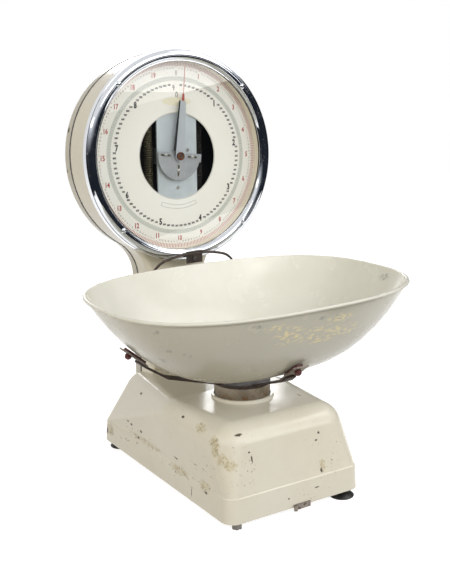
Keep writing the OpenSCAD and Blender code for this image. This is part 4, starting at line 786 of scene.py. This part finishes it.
def edge_pointer():
    """The blade's turned-back left edge, black as painted shade, further out and deeper towards the hub."""
    long, middle = 72 * MM, 43 * MM
    edge = bmesh.new()
    made = bmesh.ops.create_grid(edge, x_segments=2, y_segments=8, size=0.5)["verts"]
    bmesh.ops.rotate(edge, cent=(0, 0, 0), matrix=Matrix.Rotation(math.radians(90), 3, "Y"), verts=made)
    bmesh.ops.scale(edge, vec=(1, 1, long), verts=made)
    # In millimetres: out to the left of the pointer's axis, deep behind the bezel's widest plane
    for vert in made:
        down = 0.5 - vert.co.z / long
        out = 6.1 + 3.0 * down
        deep = 6.6 + (vert.co.y + 0.5) * (1.8 + 3.4 * down)
        vert.co = Vector((-out * MM, deep * MM, vert.co.z + middle))
    bmesh.ops.solidify(edge, geom=edge.faces[:], thickness=0.35 * MM)
    bmesh.ops.recalc_face_normals(edge, faces=edge.faces)
    set_on_pointer(edge)
    # Painted shade: dead black, so that the fold reads as the dark line of shade along it
    black = worked_metal("pointer_edge_painted_shade", "#191a1c", "#0e0f10", (0.5, 0.7), 1.5, metallic=0.0,
        depth=0.01)
    add_piece("pointer_edge", edge, black, "pointer")


def bead_seam():
    """The dark bead where the back cover meets the housing, over the drum and down the column's sides."""
    thick, wide, straight = 1.2 * MM, 3.0 * MM, 160 * MM
    bead = bmesh.new()
    made = bmesh.ops.create_grid(bead, x_segments=1, y_segments=1, size=0.5)["verts"]
    bmesh.ops.delete(bead, geom=bead.faces[:], context="FACES_ONLY")
    bmesh.ops.scale(bead, vec=(thick, wide, 1), verts=made)
    bmesh.ops.rotate(bead, cent=(0, 0, 0), matrix=Matrix.Rotation(math.radians(90), 3, "Y"), verts=made)
    bmesh.ops.translate(bead, vec=(0, SEAM_Y, DIAL_Z + DRUM_R), verts=made)
    last = bmesh.ops.spin(bead, geom=bead.edges[:], cent=(0, SEAM_Y, DIAL_Z), axis=(0, 1, 0), steps=74,
        angle=math.radians(DRUM_TURN))["geom_last"]
    ends = [part for part in last if isinstance(part, bmesh.types.BMEdge)]
    last = bmesh.ops.spin(bead, geom=ends, cent=(WEB_X, SEAM_Y, DIAL_Z - WEB_DROP), axis=(0, 1, 0), steps=20,
        angle=math.radians(-WEB_TURN))["geom_last"]
    ends = [part for part in last if isinstance(part, bmesh.types.BMEdge)]
    down = bmesh.ops.extrude_edge_only(bead, edges=ends)["geom"]
    bmesh.ops.translate(bead, vec=(0, 0, -straight),
        verts=[part for part in down if isinstance(part, bmesh.types.BMVert)])
    bmesh.ops.mirror(bead, geom=bead.verts[:] + bead.edges[:] + bead.faces[:], matrix=Matrix.Identity(4),
        merge_dist=0.01 * MM, axis="X")
    bmesh.ops.holes_fill(bead, edges=[edge for edge in bead.edges if edge.is_boundary], sides=4)
    bmesh.ops.recalc_face_normals(bead, faces=bead.faces)
    add_piece("seam_bead", bead, RUBBER, "case")


body_of = {node: body for body, held in frame["record"]["behaviour"]["bodies"].items() for node in held}
# The faceted nodes, and the angle in degrees below which each is shaded round
FACETED = {"base_casing": 24, "pan": 40, "back_hoop": 50, "load_spring_left": 50, "load_spring_right": 50}


def shade_round(name, sharp):
    """Stands in for a faceted CAD node: the same mesh, its doubles merged, shaded round below an angle."""
    source = nodes[name].data
    mesh = bmesh.new()
    mesh.from_mesh(source)
    bmesh.ops.remove_doubles(mesh, verts=mesh.verts, dist=0.002 * MM)
    for face in mesh.faces:
        face.smooth = True
    for edge in mesh.edges:
        edge.smooth = edge.calc_face_angle(0.0) < math.radians(sharp)
    made = add_piece(name + "_surface", mesh, source.materials[0], body_of[name])
    if "custom_normal" in made.data.attributes:
        made.data.attributes.remove(made.data.attributes["custom_normal"])
    weighted = made.modifiers.new("even_shading", "WEIGHTED_NORMAL")
    weighted.keep_sharp = True
    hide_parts(name)


for faceted, sharp in FACETED.items():
    shade_round(faceted, sharp)
print_pounds()
print_kilograms()
print_rules()
lay_label()
fit_counterweight()
edge_pointer()
bead_seam()
